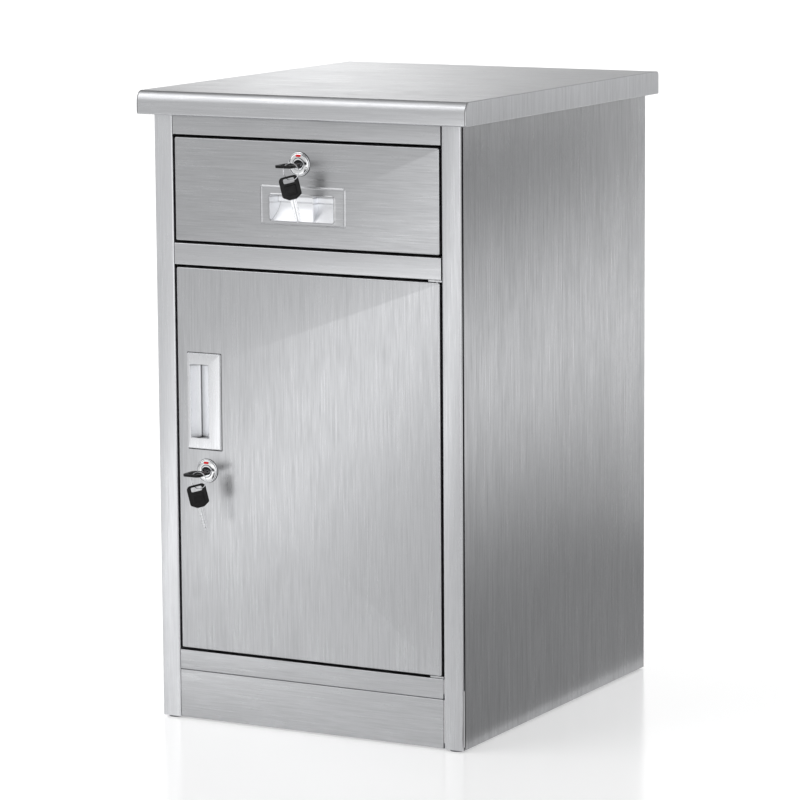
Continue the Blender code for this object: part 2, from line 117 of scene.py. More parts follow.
def shifted(points: Array, distance: float, closed: bool) -> Array:
    """Moves every side of an outline to its left, and meets the sides again at the corners.

    Args:
        points: the corners, one row each.
        distance: how far to the left; negative moves right.
        closed: whether the last corner joins the first.

    Returns:
        As many points as were given.
    """
    ahead = np.roll(points, -1, 0) - points
    if not closed:
        ahead[-1] = ahead[-2]
    behind = np.roll(ahead, 1, 0)
    if not closed:
        behind[0] = ahead[0]
    first, second = left_of(unit(behind)), left_of(unit(ahead))
    middle = unit(first + second)
    return points + middle * distance / np.sum(middle * first, -1, keepdims=True)


def rounded(points: Array, radii: Array, steps: int, closed: bool) -> Array:
    """Replaces corners by arcs that touch both sides.

    At a corner whose sides make an angle of 2h, the arc's centre lies radius / sin(h) along the
    bisector, and the arc turns evenly between the two points where it touches.

    Args:
        points: the corners.
        radii: one radius for each corner that is rounded.
        steps: the pieces in each arc.
        closed: whether every corner is rounded, or the first and last stay as they are.

    Returns:
        The outline's points.
    """
    before = np.roll(points, 1, 0) if closed else points[:-2]
    after = np.roll(points, -1, 0) if closed else points[2:]
    corner = points if closed else points[1:-1]
    a, b = unit(before - corner), unit(after - corner)
    half = np.arccos(np.clip(np.sum(a * b, -1, keepdims=True), -1, 1)) / 2
    radius = np.broadcast_to(np.asarray(radii, float), len(corner))[:, None]
    centre = corner + unit(a + b) * radius / np.sin(half)
    start = corner + a * radius / np.tan(half) - centre
    end = corner + b * radius / np.tan(half) - centre
    turn = (np.pi - 2 * half)[:, :, None]
    t = np.linspace(0, 1, steps + 1)[None, :, None]
    arcs = np.sin((1 - t) * turn) * start[:, None] + np.sin(t * turn) * end[:, None]
    arcs = (centre[:, None] + arcs / np.sin(turn)).reshape(-1, 2)
    return arcs if closed else np.concatenate([points[:1], arcs, points[-1:]])


def rectangle(left: float, right: float, low: float, high: float, radius: float,
              steps: int = 6) -> Array:
    """A rectangle with round corners, anticlockwise."""
    corners = np.array([(left, low), (right, low), (right, high), (left, high)])
    return rounded(corners, radius, steps, True)


def circle(radius: float, count: int, centre: Sequence[float] = (0.0, 0.0)) -> Array:
    """A circle, anticlockwise."""
    turn = np.linspace(0, 2 * np.pi, count, endpoint=False)
    return np.array(centre) + radius * np.stack([np.cos(turn), np.sin(turn)], -1)


def by_angle(outline: Array, centre: Array, angles: Array) -> Array:
    """Where rays from a point inside a convex outline leave it.

    Each side p + s(q - p) is met by the ray centre + r(cos, sin); the outline's radius at an
    angle is the smallest positive r of all the sides that the ray meets.

    Args:
        outline: the convex outline's points.
        centre: a point inside it.
        angles: the rays' directions.

    Returns:
        One point for each angle.
    """
    start = (outline - centre)[None]
    side = (np.roll(outline, -1, 0) - outline)[None]
    ray = np.stack([np.cos(angles), np.sin(angles)], -1)[:, None]
    cross = ray[..., 0] * side[..., 1] - ray[..., 1] * side[..., 0]
    with np.errstate(divide="ignore", invalid="ignore"):
        reach = (start[..., 0] * side[..., 1] - start[..., 1] * side[..., 0]) / cross
        along = (start[..., 0] * ray[..., 1] - start[..., 1] * ray[..., 0]) / cross
    met = (reach > 0) & (along >= -1e-6) & (along <= 1 + 1e-6)
    reach = np.where(met, reach, np.inf).min(1)
    return centre + ray[:, 0] * reach[:, None]


def folded(line: Sequence[tuple[float, float]], thickness: float, bend: float,
           steps: int = 5) -> Array:
    """The section of a folded sheet: its visible line, and the same line a thickness to its left.

    A bend towards the sheet has the full radius on the visible line and the radius less the
    thickness inside; a bend the other way has them swapped.

    Args:
        line: the visible line's corners; the sheet lies to its left.
        thickness: the sheet's thickness.
        bend: the outer radius of each fold.
        steps: the pieces in each fold.

    Returns:
        A closed outline: the visible line, then the hidden one backwards.
    """
    corners = np.array(line, float)
    ahead = np.diff(corners, axis=0)
    towards = ahead[:-1, 0] * ahead[1:, 1] - ahead[:-1, 1] * ahead[1:, 0] > 0
    tight = bend - thickness
    outer = rounded(corners, np.where(towards, bend, tight), steps, False)
    hidden = shifted(corners, thickness, False)
    inner = rounded(hidden, np.where(towards, tight, bend), steps, False)
    return np.concatenate([outer, inner[::-1]])


def lifted(outline: Array, place: Array | float, axis: Axis) -> Array:
    """Puts flat points into space: their two directions are the other axes, in order.

    Args:
        outline: the flat points.
        place: where they lie along the axis.
        axis: the axis that they are flat against.

    Returns:
        The points in space.
    """
    others = [i for i in range(3) if i != axis.value]
    out = np.empty((*outline.shape[:-1], 3))
    out[..., others[0]] = outline[..., 0]
    out[..., others[1]] = outline[..., 1]
    out[..., axis.value] = place
    return out


# ---------------------------------------------------------------- meshes

@dataclass
class Skin:
    """Points and faces gathered for one mesh."""

    points: list[Array] = field(default_factory=list)
    faces: list[Array] = field(default_factory=list)
    caps: list[list[int]] = field(default_factory=list)
    count: int = 0

    def grid(self, points: Array, wrap_rows: bool = False, wrap_columns: bool = True) -> int:
        """Adds a grid of points, joined by quads.

        Args:
            points: rows by columns by three.
            wrap_rows: whether the last row joins the first.
            wrap_columns: whether the last column joins the first.

        Returns:
            The number of the grid's first point.
        """
        rows, columns = points.shape[:2]
        r = np.arange(rows if wrap_rows else rows - 1)[:, None]
        c = np.arange(columns if wrap_columns else columns - 1)[None]
        up, along = (r + 1) % rows, (c + 1) % columns
        quads = np.stack(np.broadcast_arrays(
            r * columns + c, r * columns + along, up * columns + along, up * columns + c), -1)
        first = self.count
        self.points.append(points.reshape(-1, 3))
        self.faces.append(quads.reshape(-1, 4) + first)
        self.count += rows * columns
        return first

    def cap(self, first: int, count: int) -> None:
        """Closes a run of points with one face."""
        self.caps.append(list(range(first, first + count)))

    def loft(self, loops: Array) -> None:
        """Joins loops one after the other and closes both ends.

        Args:
            loops: the loops, all of one length.
        """
        rows, columns = loops.shape[:2]
        first = self.grid(loops)
        self.cap(first, columns)
        self.cap(first + (rows - 1) * columns, columns)

    def strip(self, section: Array, start: float, end: float, axis: Axis) -> None:
        """Carries a folded sheet's section along an axis and closes its two cut ends.

        Args:
            section: the visible line, then the hidden one backwards.
            start, end: the two ends along the axis.
            axis: the axis.
        """
        count = len(section)
        half = count // 2
        first = self.grid(np.stack([lifted(section, start, axis), lifted(section, end, axis)]))
        i = np.arange(half - 1)
        quads = np.stack([i, i + 1, count - 2 - i, count - 1 - i], -1)
        self.faces += [quads + first, quads + first + count]

    def move(self, matrix: Matrix) -> None:
        """Turns and moves all the points so far."""
        turn = np.array(matrix)
        self.points = [p @ turn[:3, :3].T + turn[:3, 3] for p in self.points]

    def mesh(self, name: str, sharp: float) -> bpy.types.Mesh:
        """Makes the mesh: points merged, faces outwards, smooth up to an angle in degrees.

        Args:
            name: the mesh's name.
            sharp: the angle past which an edge is sharp, in degrees.

        Returns:
            The mesh.
        """
        mesh = bpy.data.meshes.new(name)
        faces = [face for block in self.faces for face in block.tolist()] + self.caps
        mesh.from_pydata(np.concatenate(self.points).tolist(), [], faces)
        bm = bmesh.new()
        bm.from_mesh(mesh)
        bmesh.ops.remove_doubles(bm, verts=bm.verts, dist=1e-6)
        bmesh.ops.dissolve_degenerate(bm, edges=bm.edges, dist=1e-7)
        bmesh.ops.recalc_face_normals(bm, faces=bm.faces)
        bm.to_mesh(mesh)
        bm.free()
        mesh.shade_smooth()
        mesh.set_sharp_from_angle(angle=math.radians(sharp))
        return mesh


def turned(profile: Sequence[tuple[float, float]], count: int) -> Skin:
    """A profile turned about the Y axis, its end joined to its start.

    Args:
        profile: radius and place along Y, in order.
        count: the sides of each circle.

    Returns:
        The surface about the origin.
    """
    skin = Skin()
    radius, place = np.array(profile, float).T
    loops = lifted(circle(1.0, count)[None] * radius[:, None, None], place[:, None], Axis.Y)
    skin.grid(loops, wrap_rows=True)
    return skin


def rounded_edge(radius: float, steps: int = 4) -> Array:
    """How far in and how far back a rounded edge lies, from its face to its side.

    The edge is a quarter circle: at an angle a from the face, it is radius * (1 - sin a) in
    from the side and radius * (1 - cos a) back from the face.
    """
    turn = np.linspace(0, np.pi / 2, steps + 1)
    return radius * np.stack([1 - np.sin(turn), 1 - np.cos(turn)], -1)


def place_piece(name: str, mesh: bpy.types.Mesh, finish: bpy.types.Material, body: str,
                stands_for: Sequence[str] = ()) -> bpy.types.Object:
    """Adds a piece to the object, on its body.

    Args:
        name: the piece's name.
        mesh: its mesh, in place.
        finish: its material.
        body: the body that it moves with.
        stands_for: the CAD nodes that it replaces.

    Returns:
        The new object.
    """
    thing = bpy.data.objects.new(name, mesh)
    bpy.context.collection.objects.link(thing)
    mesh.materials.clear()
    mesh.materials.append(finish)
    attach(thing, body)
    if stands_for:
        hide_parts(*stands_for)
    log.info("%s: %d faces, on %s", name, len(mesh.polygons), body)
    return thing


# ---------------------------------------------------------------- finishes

class Grain(Enum):
    """Which way the brushing runs: how much the pattern is squeezed along X, Y and Z."""

    UPRIGHT = (1.0, 1.0, 0.028)
    ACROSS = (0.028, 1.0, 1.0)
    BACKWARDS = (1.0, 0.028, 1.0)


class Nodes:
    """A short way to write node trees."""

    def __init__(self, tree: bpy.types.NodeTree) -> None:
        """Keeps the tree that the nodes go into."""
        self.tree = tree

    def add(self, kind: str, settings: Optional[dict] = None, **inputs: object) -> bpy.types.Node:
        """Adds a node; an input's value is a socket to link or a constant to set.

        Args:
            kind: the node's type.
            settings: its own properties.
            inputs: values by the input's name, with _ for a space.

        Returns:
            The node.
        """
        node = self.tree.nodes.new(kind)
        for key, value in (settings or {}).items():
            setattr(node, key, value)
        for key, value in inputs.items():
            self.feed(node.inputs[key.replace("_", " ")], value)
        return node

    def feed(self, socket: bpy.types.NodeSocket, value: object) -> None:
        """Links a socket, or sets its constant.

        Args:
            socket: an input.
            value: a socket to link, or a constant.
        """
        if isinstance(value, bpy.types.NodeSocket):
            self.tree.links.new(value, socket)
        else:
            socket.default_value = value

    def maths(self, operation: str, first: object, second: object = 0.0) -> bpy.types.NodeSocket:
        """One step of arithmetic.

        Args:
            operation: the operation's name.
            first, second: its two values.

        Returns:
            The result's socket.
        """
        node = self.add("ShaderNodeMath", {"operation": operation})
        self.feed(node.inputs[0], first)
        self.feed(node.inputs[1], second)
        return node.outputs[0]

    def spread(self, value: object, low: float, high: float, first: object = 0.0,
               last: object = 1.0) -> bpy.types.NodeSocket:
        """Maps the range low to high onto first to last, and stops at both ends."""
        node = self.add("ShaderNodeMapRange", {"clamp": True}, Value=value, From_Min=low,
                        From_Max=high, To_Min=first, To_Max=last)
        return node.outputs[0]

    def mixed(self, factor: object, first: object, second: object) -> bpy.types.NodeSocket:
        """Two colours mixed.

        Args:
            factor: the second colour's share.
            first, second: the colours.

        Returns:
            The mixed colour's socket.
        """
        node = self.add("ShaderNodeMix", {"data_type": "RGBA", "blend_type": "MIX"})
        self.feed(node.inputs[0], factor)
        self.feed(node.inputs[6], first)
        self.feed(node.inputs[7], second)
        return node.outputs[2]

    def noise(self, where: object, scale: float, detail: float = 2.0,
              rough: float = 0.5) -> bpy.types.NodeSocket:
        """Noise at so many features to the metre."""
        node = self.add("ShaderNodeTexNoise", None, Vector=where, Scale=scale, Detail=detail,
                        Roughness=rough)
        return node.outputs["Fac"]


def group(name: str, takes: dict[str, object], gives: dict[str, str],
          fill: Callable[[Nodes, dict], dict]) -> bpy.types.NodeTree:
    """Makes a shader node group once.

    Args:
        name: the group's name.
        takes: the inputs, by name, each with its starting value; a tuple is a vector.
        gives: the outputs, by name, each with its socket's type.
        fill: takes the nodes and the inputs' sockets, and returns the outputs' sockets.

    Returns:
        The group.
    """
    if name in bpy.data.node_groups:
        return bpy.data.node_groups[name]
    tree = bpy.data.node_groups.new(name, "ShaderNodeTree")
    for key, start in takes.items():
        kind = "NodeSocketVector" if isinstance(start, tuple) else "NodeSocketFloat"
        socket = tree.interface.new_socket(key, in_out="INPUT", socket_type=kind)
        socket.default_value = start
    for key, kind in gives.items():
        tree.interface.new_socket(key, in_out="OUTPUT", socket_type=kind)
    nodes = Nodes(tree)
    inside = nodes.add("NodeGroupInput")
    outside = nodes.add("NodeGroupOutput")
    made = fill(nodes, {key: inside.outputs[key] for key in takes})
    for key, socket in made.items():
        nodes.feed(outside.inputs[key], socket)
    return tree


def brushed_grain() -> bpy.types.NodeTree:
    """Long scratches at three widths: hairlines, streaks and broad polishing bands.

    Returns:
        The group; it puts out the scratches' tone and height.
    """

    def fill(nodes: Nodes, given: dict) -> dict:
        """Squeezes the pattern along the grain and adds its three widths up.

        Args:
            nodes: the group's nodes.
            given: its inputs' sockets.

        Returns:
            The outputs' sockets.
        """
        stretch = nodes.add("ShaderNodeVectorMath", {"operation": "MULTIPLY"})
        nodes.feed(stretch.inputs[0], given["Vector"])
        nodes.feed(stretch.inputs[1], given["Stretch"])
        where = stretch.outputs[0]
        hair = nodes.noise(where, 1500.0, 3.0, 0.6)
        streak = nodes.noise(where, 520.0, 2.0, 0.60)
        band = nodes.noise(where, 75.0, 3.0, 0.6)
        fine = nodes.maths("ADD", nodes.maths("MULTIPLY", hair, 0.42),
                           nodes.maths("MULTIPLY", streak, 0.58))
        tone = nodes.maths("ADD", nodes.maths("MULTIPLY", fine, 0.86),
                           nodes.maths("MULTIPLY", band, 0.14))
        return {"Tone": nodes.spread(tone, 0.36, 0.64), "Height": fine}

    return group("brushed_grain", {"Vector": (0.0, 0.0, 0.0), "Stretch": (1.0, 1.0, 0.01)},
                 {"Tone": "NodeSocketFloat", "Height": "NodeSocketFloat"}, fill)


def handling() -> bpy.types.NodeTree:
    """Faint hand smears and wipe marks, and dust that gathers low down.

    Returns:
        The group; it puts out the marks and the dust.
    """

    def fill(nodes: Nodes, given: dict) -> dict:
        """Multiplies broad smears by finer wipe marks, and dust by its height.

        Args:
            nodes: the group's nodes.
            given: its inputs' sockets.

        Returns:
            The outputs' sockets.
        """
        smear = nodes.noise(given["Vector"], 9.0, 4.0, 0.62)
        wipe = nodes.noise(given["Vector"], 38.0, 3.0, 0.6)
        marks = nodes.maths("MULTIPLY", nodes.spread(smear, 0.42, 0.72),
                            nodes.spread(wipe, 0.30, 0.70))
        height = nodes.add("ShaderNodeSeparateXYZ", None, Vector=given["Vector"]).outputs["Z"]
        low = nodes.spread(height, 0.0, 0.07, 1.0, 0.0)
        dust = nodes.maths("MULTIPLY", low, nodes.spread(wipe, 0.35, 0.65))
        return {"Marks": marks, "Dust": nodes.maths("MULTIPLY", dust, given["Dust"])}

    return group("handling", {"Vector": (0.0, 0.0, 0.0), "Dust": 1.0},
                 {"Marks": "NodeSocketFloat", "Dust": "NodeSocketFloat"}, fill)


def use(nodes: Nodes, tree: bpy.types.NodeTree, **inputs: object) -> bpy.types.Node:
    """Places a group in a material."""
    return nodes.add("ShaderNodeGroup", {"node_tree": tree}, **inputs)


def new_material(name: str) -> tuple[bpy.types.Material, Nodes, bpy.types.Node,
                                     bpy.types.NodeSocket]:
    """Makes a material with a Principled shader.

    Args:
        name: the material's name.

    Returns:
        The material, its nodes, its shader and its Object coordinates.
    """
    material = bpy.data.materials.new(name)
    material.use_nodes = True
    nodes = Nodes(material.node_tree)
    shader = material.node_tree.nodes["Principled BSDF"]
    where = nodes.add("ShaderNodeTexCoord").outputs["Object"]
    return material, nodes, shader, where


def grey(value: float, cool: float = 0.016) -> tuple[float, float, float, float]:
    """A grey, slightly cool: its blue is higher than its green by this share, and its red lower."""
    return (value * (1 - cool * 0.7), value, value * (1 + cool * 1.7), 1.0)


DUST = grey(0.34, 0.0)
# Near-black painted shade, mixed into a cup's chrome along its creases, corners and lip edges.
PAINTED_SHADE_COLOUR = grey(0.05)


@dataclass(frozen=True)
class Steel:
    """Brushed stainless steel.

    Attributes:
        name: the material's name.
        grain: which way the brushing runs.
        dark, light: the reflectance between and on the scratches.
        roughness: the middle roughness.
        relief: how deep the scratches are, in metres.
        spread: how far the roughness goes to either side of its middle.
        dusty, smeared: how strongly dust and smears cover the steel.
        smear_dark, smear_rough: a smear's share of the dark tone, and what it adds to the roughness.
    """

    name: str
    grain: Grain
    dark: float
    light: float
    roughness: float = 0.30
    relief: float = 0.00002
    spread: float = 0.05
    dusty: float = 0.25
    smeared: float = 0.10
    smear_dark: float = 0.86
    smear_rough: float = 0.08

    def material(self) -> bpy.types.Material:
        """Builds the material, or finds it.

        Returns:
            The material.
        """
        if self.name in bpy.data.materials:
            return bpy.data.materials[self.name]
        material, nodes, shader, where = new_material(self.name)
        grain = use(nodes, brushed_grain(), Vector=where, Stretch=self.grain.value)
        touch = use(nodes, handling(), Vector=where, Dust=0.6)
        tone, marks, dust = grain.outputs["Tone"], touch.outputs["Marks"], touch.outputs["Dust"]
        bare = nodes.mixed(tone, grey(self.dark), grey(self.light))
        dusted = nodes.mixed(nodes.maths("MULTIPLY", dust, self.dusty), bare, DUST)
        touched = nodes.mixed(nodes.maths("MULTIPLY", marks, self.smeared), dusted,
                              grey(self.dark * self.smear_dark))
        nodes.feed(shader.inputs["Base Color"], touched)
        rough = nodes.spread(tone, 0.0, 1.0, self.roughness + self.spread, self.roughness - self.spread)
        rough = nodes.maths("ADD", rough, nodes.maths("MULTIPLY", marks, self.smear_rough))
        nodes.feed(shader.inputs["Roughness"], rough)
        bump = nodes.add("ShaderNodeBump", None, Strength=0.22, Distance=self.relief,
                         Height=grain.outputs["Height"])
        nodes.feed(shader.inputs["Normal"], bump.outputs[0])
        shader.inputs["Metallic"].default_value = 1.0
        return material


@dataclass(frozen=True)
class Plated:
    """Chrome, nickel or zinc plate: smooth, with faint pits and wipe marks.

    Attributes:
        name: the material's name.
        light: the reflectance.
        roughness: the roughness where it is clean.
        pits, pit_scale: how much darker the pits are, and how many lie along a metre.
        painted_shade: whether the mesh carries painted shade for its creases, corners and lip edges, in
            a point attribute named like this field.
    """

    name: str
    light: float
    roughness: float
    pits: float = 0.04
    pit_scale: float = 900.0
    painted_shade: bool = False

    def material(self) -> bpy.types.Material:
        """Builds the material, or finds it.

        Returns:
            The material.
        """
        if self.name in bpy.data.materials:
            return bpy.data.materials[self.name]
        material, nodes, shader, where = new_material(self.name)
        touch = use(nodes, handling(), Vector=where, Dust=0.0)
        pit = nodes.noise(where, self.pit_scale, 3.0, 0.6)
        tone = nodes.spread(pit, 0.35, 0.65)
        clean = nodes.mixed(tone, grey(self.light - self.pits), grey(self.light))
        # Where the mesh's attribute says, the plate is darkened towards near-black: painted shade in
        # the cup's creases and under its lips.
        if self.painted_shade:
            kept = nodes.add("ShaderNodeAttribute", {"attribute_name": "painted_shade"}).outputs["Fac"]
            clean = nodes.mixed(kept, clean, PAINTED_SHADE_COLOUR)
        nodes.feed(shader.inputs["Base Color"], clean)
        rough = nodes.spread(tone, 0.0, 1.0, self.roughness + 0.03, self.roughness)
        rough = nodes.maths("ADD", rough, nodes.maths("MULTIPLY", touch.outputs["Marks"], 0.07))
        nodes.feed(shader.inputs["Roughness"], rough)
        bump = nodes.add("ShaderNodeBump", None, Strength=0.12, Distance=0.00002, Height=pit)
        nodes.feed(shader.inputs["Normal"], bump.outputs[0])
        shader.inputs["Metallic"].default_value = 1.0
        return material


@dataclass(frozen=True)
class Moulded:
    """Moulded plastic with a fine spark-eroded texture, polished on its high spots."""

    name: str
    colour: tuple[float, float, float]
    roughness: float
    texture: float = 2600.0

    def material(self) -> bpy.types.Material:
        """Builds the material, or finds it.

        Returns:
            The material.
        """
        if self.name in bpy.data.materials:
            return bpy.data.materials[self.name]
        material, nodes, shader, where = new_material(self.name)
        skin = nodes.noise(where, self.texture, 3.0, 0.6)
        wear = nodes.spread(nodes.noise(where, 130.0, 3.0, 0.6), 0.45, 0.70)
        tint = tuple(min(c * 1.5 + 0.003, 0.85) for c in self.colour)
        nodes.feed(shader.inputs["Base Color"],
                   nodes.mixed(nodes.maths("MULTIPLY", wear, 0.5), (*self.colour, 1), (*tint, 1)))
        nodes.feed(shader.inputs["Roughness"],
                   nodes.spread(wear, 0.0, 1.0, self.roughness, self.roughness - 0.12))
        bump = nodes.add("ShaderNodeBump", None, Strength=0.25, Distance=0.00004, Height=skin)
        nodes.feed(shader.inputs["Normal"], bump.outputs[0])
        shader.inputs["Specular IOR Level"].default_value = 0.22
        return material


@dataclass(frozen=True)
class Fibreboard:
    """Raw board: pressed fibres and a few dark chips."""

    name: str = "raw_board"

    def material(self) -> bpy.types.Material:
        """Builds the material, or finds it.

        Returns:
            The material.
        """
        if self.name in bpy.data.materials:
            return bpy.data.materials[self.name]
        material, nodes, shader, where = new_material(self.name)
        fibre = nodes.noise(where, 700.0, 5.0, 0.7)
        chip = nodes.spread(nodes.noise(where, 240.0, 2.0, 0.5), 0.62, 0.72)
        warm = nodes.mixed(nodes.spread(fibre, 0.3, 0.7), (0.30, 0.20, 0.11, 1),
                           (0.52, 0.38, 0.24, 1))
        nodes.feed(shader.inputs["Base Color"], nodes.mixed(chip, warm, (0.16, 0.10, 0.05, 1)))
        nodes.feed(shader.inputs["Roughness"], nodes.spread(fibre, 0.3, 0.7, 0.92, 0.78))
        bump = nodes.add("ShaderNodeBump", None, Strength=0.5, Distance=0.0002, Height=fibre)
        nodes.feed(shader.inputs["Normal"], bump.outputs[0])
        return material


# One brushed stainless steel in lit and shaded copies: each piece's reflectance is set to how light or
# dark that piece looks under the studio's light, which paints light and shade into it. The left post
# and the door pull's plate are painted lighter, the right post darker, and the side panels and back
# darkest.
DOOR_STEEL = Steel("door_steel", Grain.UPRIGHT, dark=0.43, light=0.54)
POST_STEEL = {"left": Steel("left_post_steel", Grain.UPRIGHT, dark=0.58, light=0.68),
              "right": Steel("right_post_steel", Grain.UPRIGHT, dark=0.48, light=0.57)}
RAIL_STEEL = Steel("rail_steel", Grain.ACROSS, dark=0.42, light=0.51)
SHELF_RAIL_STEEL = Steel("middle_rail_steel", Grain.ACROSS, dark=0.48, light=0.55)
TOP_STEEL = Steel("worktop_steel", Grain.ACROSS, dark=0.48, light=0.57)
END_STEEL = Steel("worktop_end_steel", Grain.UPRIGHT, dark=0.50, light=0.62, roughness=0.46)
DRAWER_STEEL = Steel("drawer_front_steel", Grain.ACROSS, dark=0.39, light=0.49)
SIDE_STEEL = Steel("side_panel_steel", Grain.UPRIGHT, dark=0.33, light=0.48)
PULL_STEEL = Steel("pull_flange_steel", Grain.ACROSS, dark=0.42, light=0.51)
PLATE_STEEL = Steel("pull_plate_steel", Grain.UPRIGHT, dark=0.64, light=0.71, roughness=0.26,
                    relief=0.000003)
INNER_STEEL = Steel("interior_sheet", Grain.BACKWARDS, dark=0.70, light=0.82, roughness=0.44)
INNER_UPRIGHT = Steel("interior_upright_sheet", Grain.UPRIGHT, dark=0.70, light=0.82,
                      roughness=0.44)
CHROME = Plated("polished_chrome", 0.90, 0.12)
SATIN = Plated("satin_chrome", 0.95, 0.26)
# The cups' chrome is darkened by the painted shade that the cup mesh carries.
CUP_CHROME = Plated("pressed_cup_chrome", 0.93, 0.42, painted_shade=True)
NICKEL = Plated("nickel_plate", 0.74, 0.14)
ZINC = Plated("zinc_plate", 0.60, 0.34, pits=0.14, pit_scale=320.0)
BLACK = Moulded("black_key_plastic", (0.0025, 0.0025, 0.003), 0.40)
GLIDE_GREY = Moulded("glide_plastic", (0.14, 0.14, 0.15), 0.55)
RED = Moulded("red_enamel", (0.96, 0.003, 0.005), 0.34, 900.0)
BOARD = Fibreboard()


# ---------------------------------------------------------------- worktop

@dataclass
class Worktop:
    """A folded steel cover with a bullnose in front, closed by a plate at each end.

    Attributes:
        sheet: its thickness.
        nose: how far the front rounding reaches back, and down.
        heel: the radius of the rear upper edge.
        hem: the radius of the front lower edge.
        lip: how far the sheet turns in underneath.
        seam: the joint between the cover and an end plate.
        end_thick: an end plate's thickness.
        end_edge: the reach of its rounded edge back from its face.
        end_in: how many times further the rounding reaches in from the outline.
        core_inset, core_soft: how far the board lies inside, and its softened edge.
    """

    sheet: float = 0.0012
    nose: tuple[float, float] = (0.010, 0.014)
    heel: float = 0.004
    hem: float = 0.0028
    lip: float = 0.014
    seam: float = 0.0006
    end_thick: float = 0.0013
    end_edge: float = 0.0012
    end_in: float = 1.7
    core_inset: float = 0.0015
    core_soft: float = 0.0006
    limits: Limits = field(default_factory=lambda: Limits.of("worktop"))

    def line(self, by: float) -> Array:
        """The cover's visible line from behind, over the top and down the front, moved inwards.

        The nose is a quarter of an ellipse, flat on top and upright in front. The heel and the hem
        are quarters of circles.

        Args:
            by: how far inwards.

        Returns:
            The line's points.
        """
        (front, back), (low, high) = self.limits.across(Axis.Y), self.limits.across(Axis.Z)
        turn = np.linspace(0, np.pi / 2, 13)
        across, down = self.nose[0] - by, self.nose[1] - by
        heel = self.heel - by
        rear = np.stack([back - self.heel + heel * np.cos(turn),
                         high - self.heel + heel * np.sin(turn)], -1)
        nose = np.stack([front + self.nose[0] - across * np.sin(turn),
                         high - self.nose[1] + down * np.cos(turn)], -1)
        hem = self.hem - by
        under = turn[::2]
        foot = np.stack([front + self.hem - hem * np.cos(under),
                         low + self.hem - hem * np.sin(under)], -1)
        start = np.array([[back - self.lip, low + by], [back - by, low + by]])
        return np.concatenate([start, rear, nose, foot, [[front + self.lip, low + by]]])

    def build_cover(self) -> None:
        """The cover: its line and the same line a sheet's thickness inside, carried across."""
        skin = Skin()
        section = np.concatenate([self.line(0.0), self.line(self.sheet)[::-1]])
        left, right = self.limits.across(Axis.X)
        inside = self.end_thick + self.seam
        skin.strip(section, left + inside, right - inside, Axis.X)
        place_piece("worktop_cover", skin.mesh("worktop_cover", 32), TOP_STEEL.material(),
                    "cabinet", ["worktop"])

    def build_end(self, side: str) -> None:
        """An end plate: the same outline, its edges softly rounded.

        Args:
            side: left or right.
        """
        left, right = self.limits.across(Axis.X)
        place, way = (left, 1) if side == "left" else (right, -1)
        edge = rounded_edge(self.end_edge, 5) * np.array([self.end_in, 1.0])
        rows = np.concatenate([edge, [[0.0, self.end_thick]]])
        loops = np.stack([lifted(self.line(by)[1:-1], place + way * back, Axis.X)
                          for by, back in rows])
        skin = Skin()
        skin.loft(loops)
        place_piece(f"worktop_end_{side}", skin.mesh("worktop_end", 30), END_STEEL.material(),
                    "cabinet")

    def build_core(self) -> None:
        """The board inside: the cover's outline moved inwards, with softened ends."""
        left, right = Limits.of("worktop_core").across(Axis.X)
        outline = self.line(self.core_inset)[1:-1]
        soft = self.line(self.core_inset + self.core_soft)[1:-1]
        places = [left, left + self.core_soft, right - self.core_soft, right]
        loops = [lifted(loop, place, Axis.X)
                 for loop, place in zip([soft, outline, outline, soft], places)]
        skin = Skin()
        skin.loft(np.stack(loops))
        place_piece("worktop_board", skin.mesh("worktop_board", 30), BOARD.material(), "cabinet",
                    ["worktop_core"])

    def build(self) -> None:
        """Builds the worktop."""
        self.build_cover()
        self.build_end("left")
        self.build_end("right")
        self.build_core()


def dress(node: str, finish: Steel | Plated | Moulded | Fibreboard) -> None:
    """Gives a CAD node that stays its finish.

    Args:
        node: the CAD node.
        finish: its finish.
    """
    mesh = frame["nodes"][node].data
    mesh.materials.clear()
    mesh.materials.append(finish.material())
    log.info("%s: CAD shape kept, %s", node, finish.name)


# ---------------------------------------------------------------- carcass

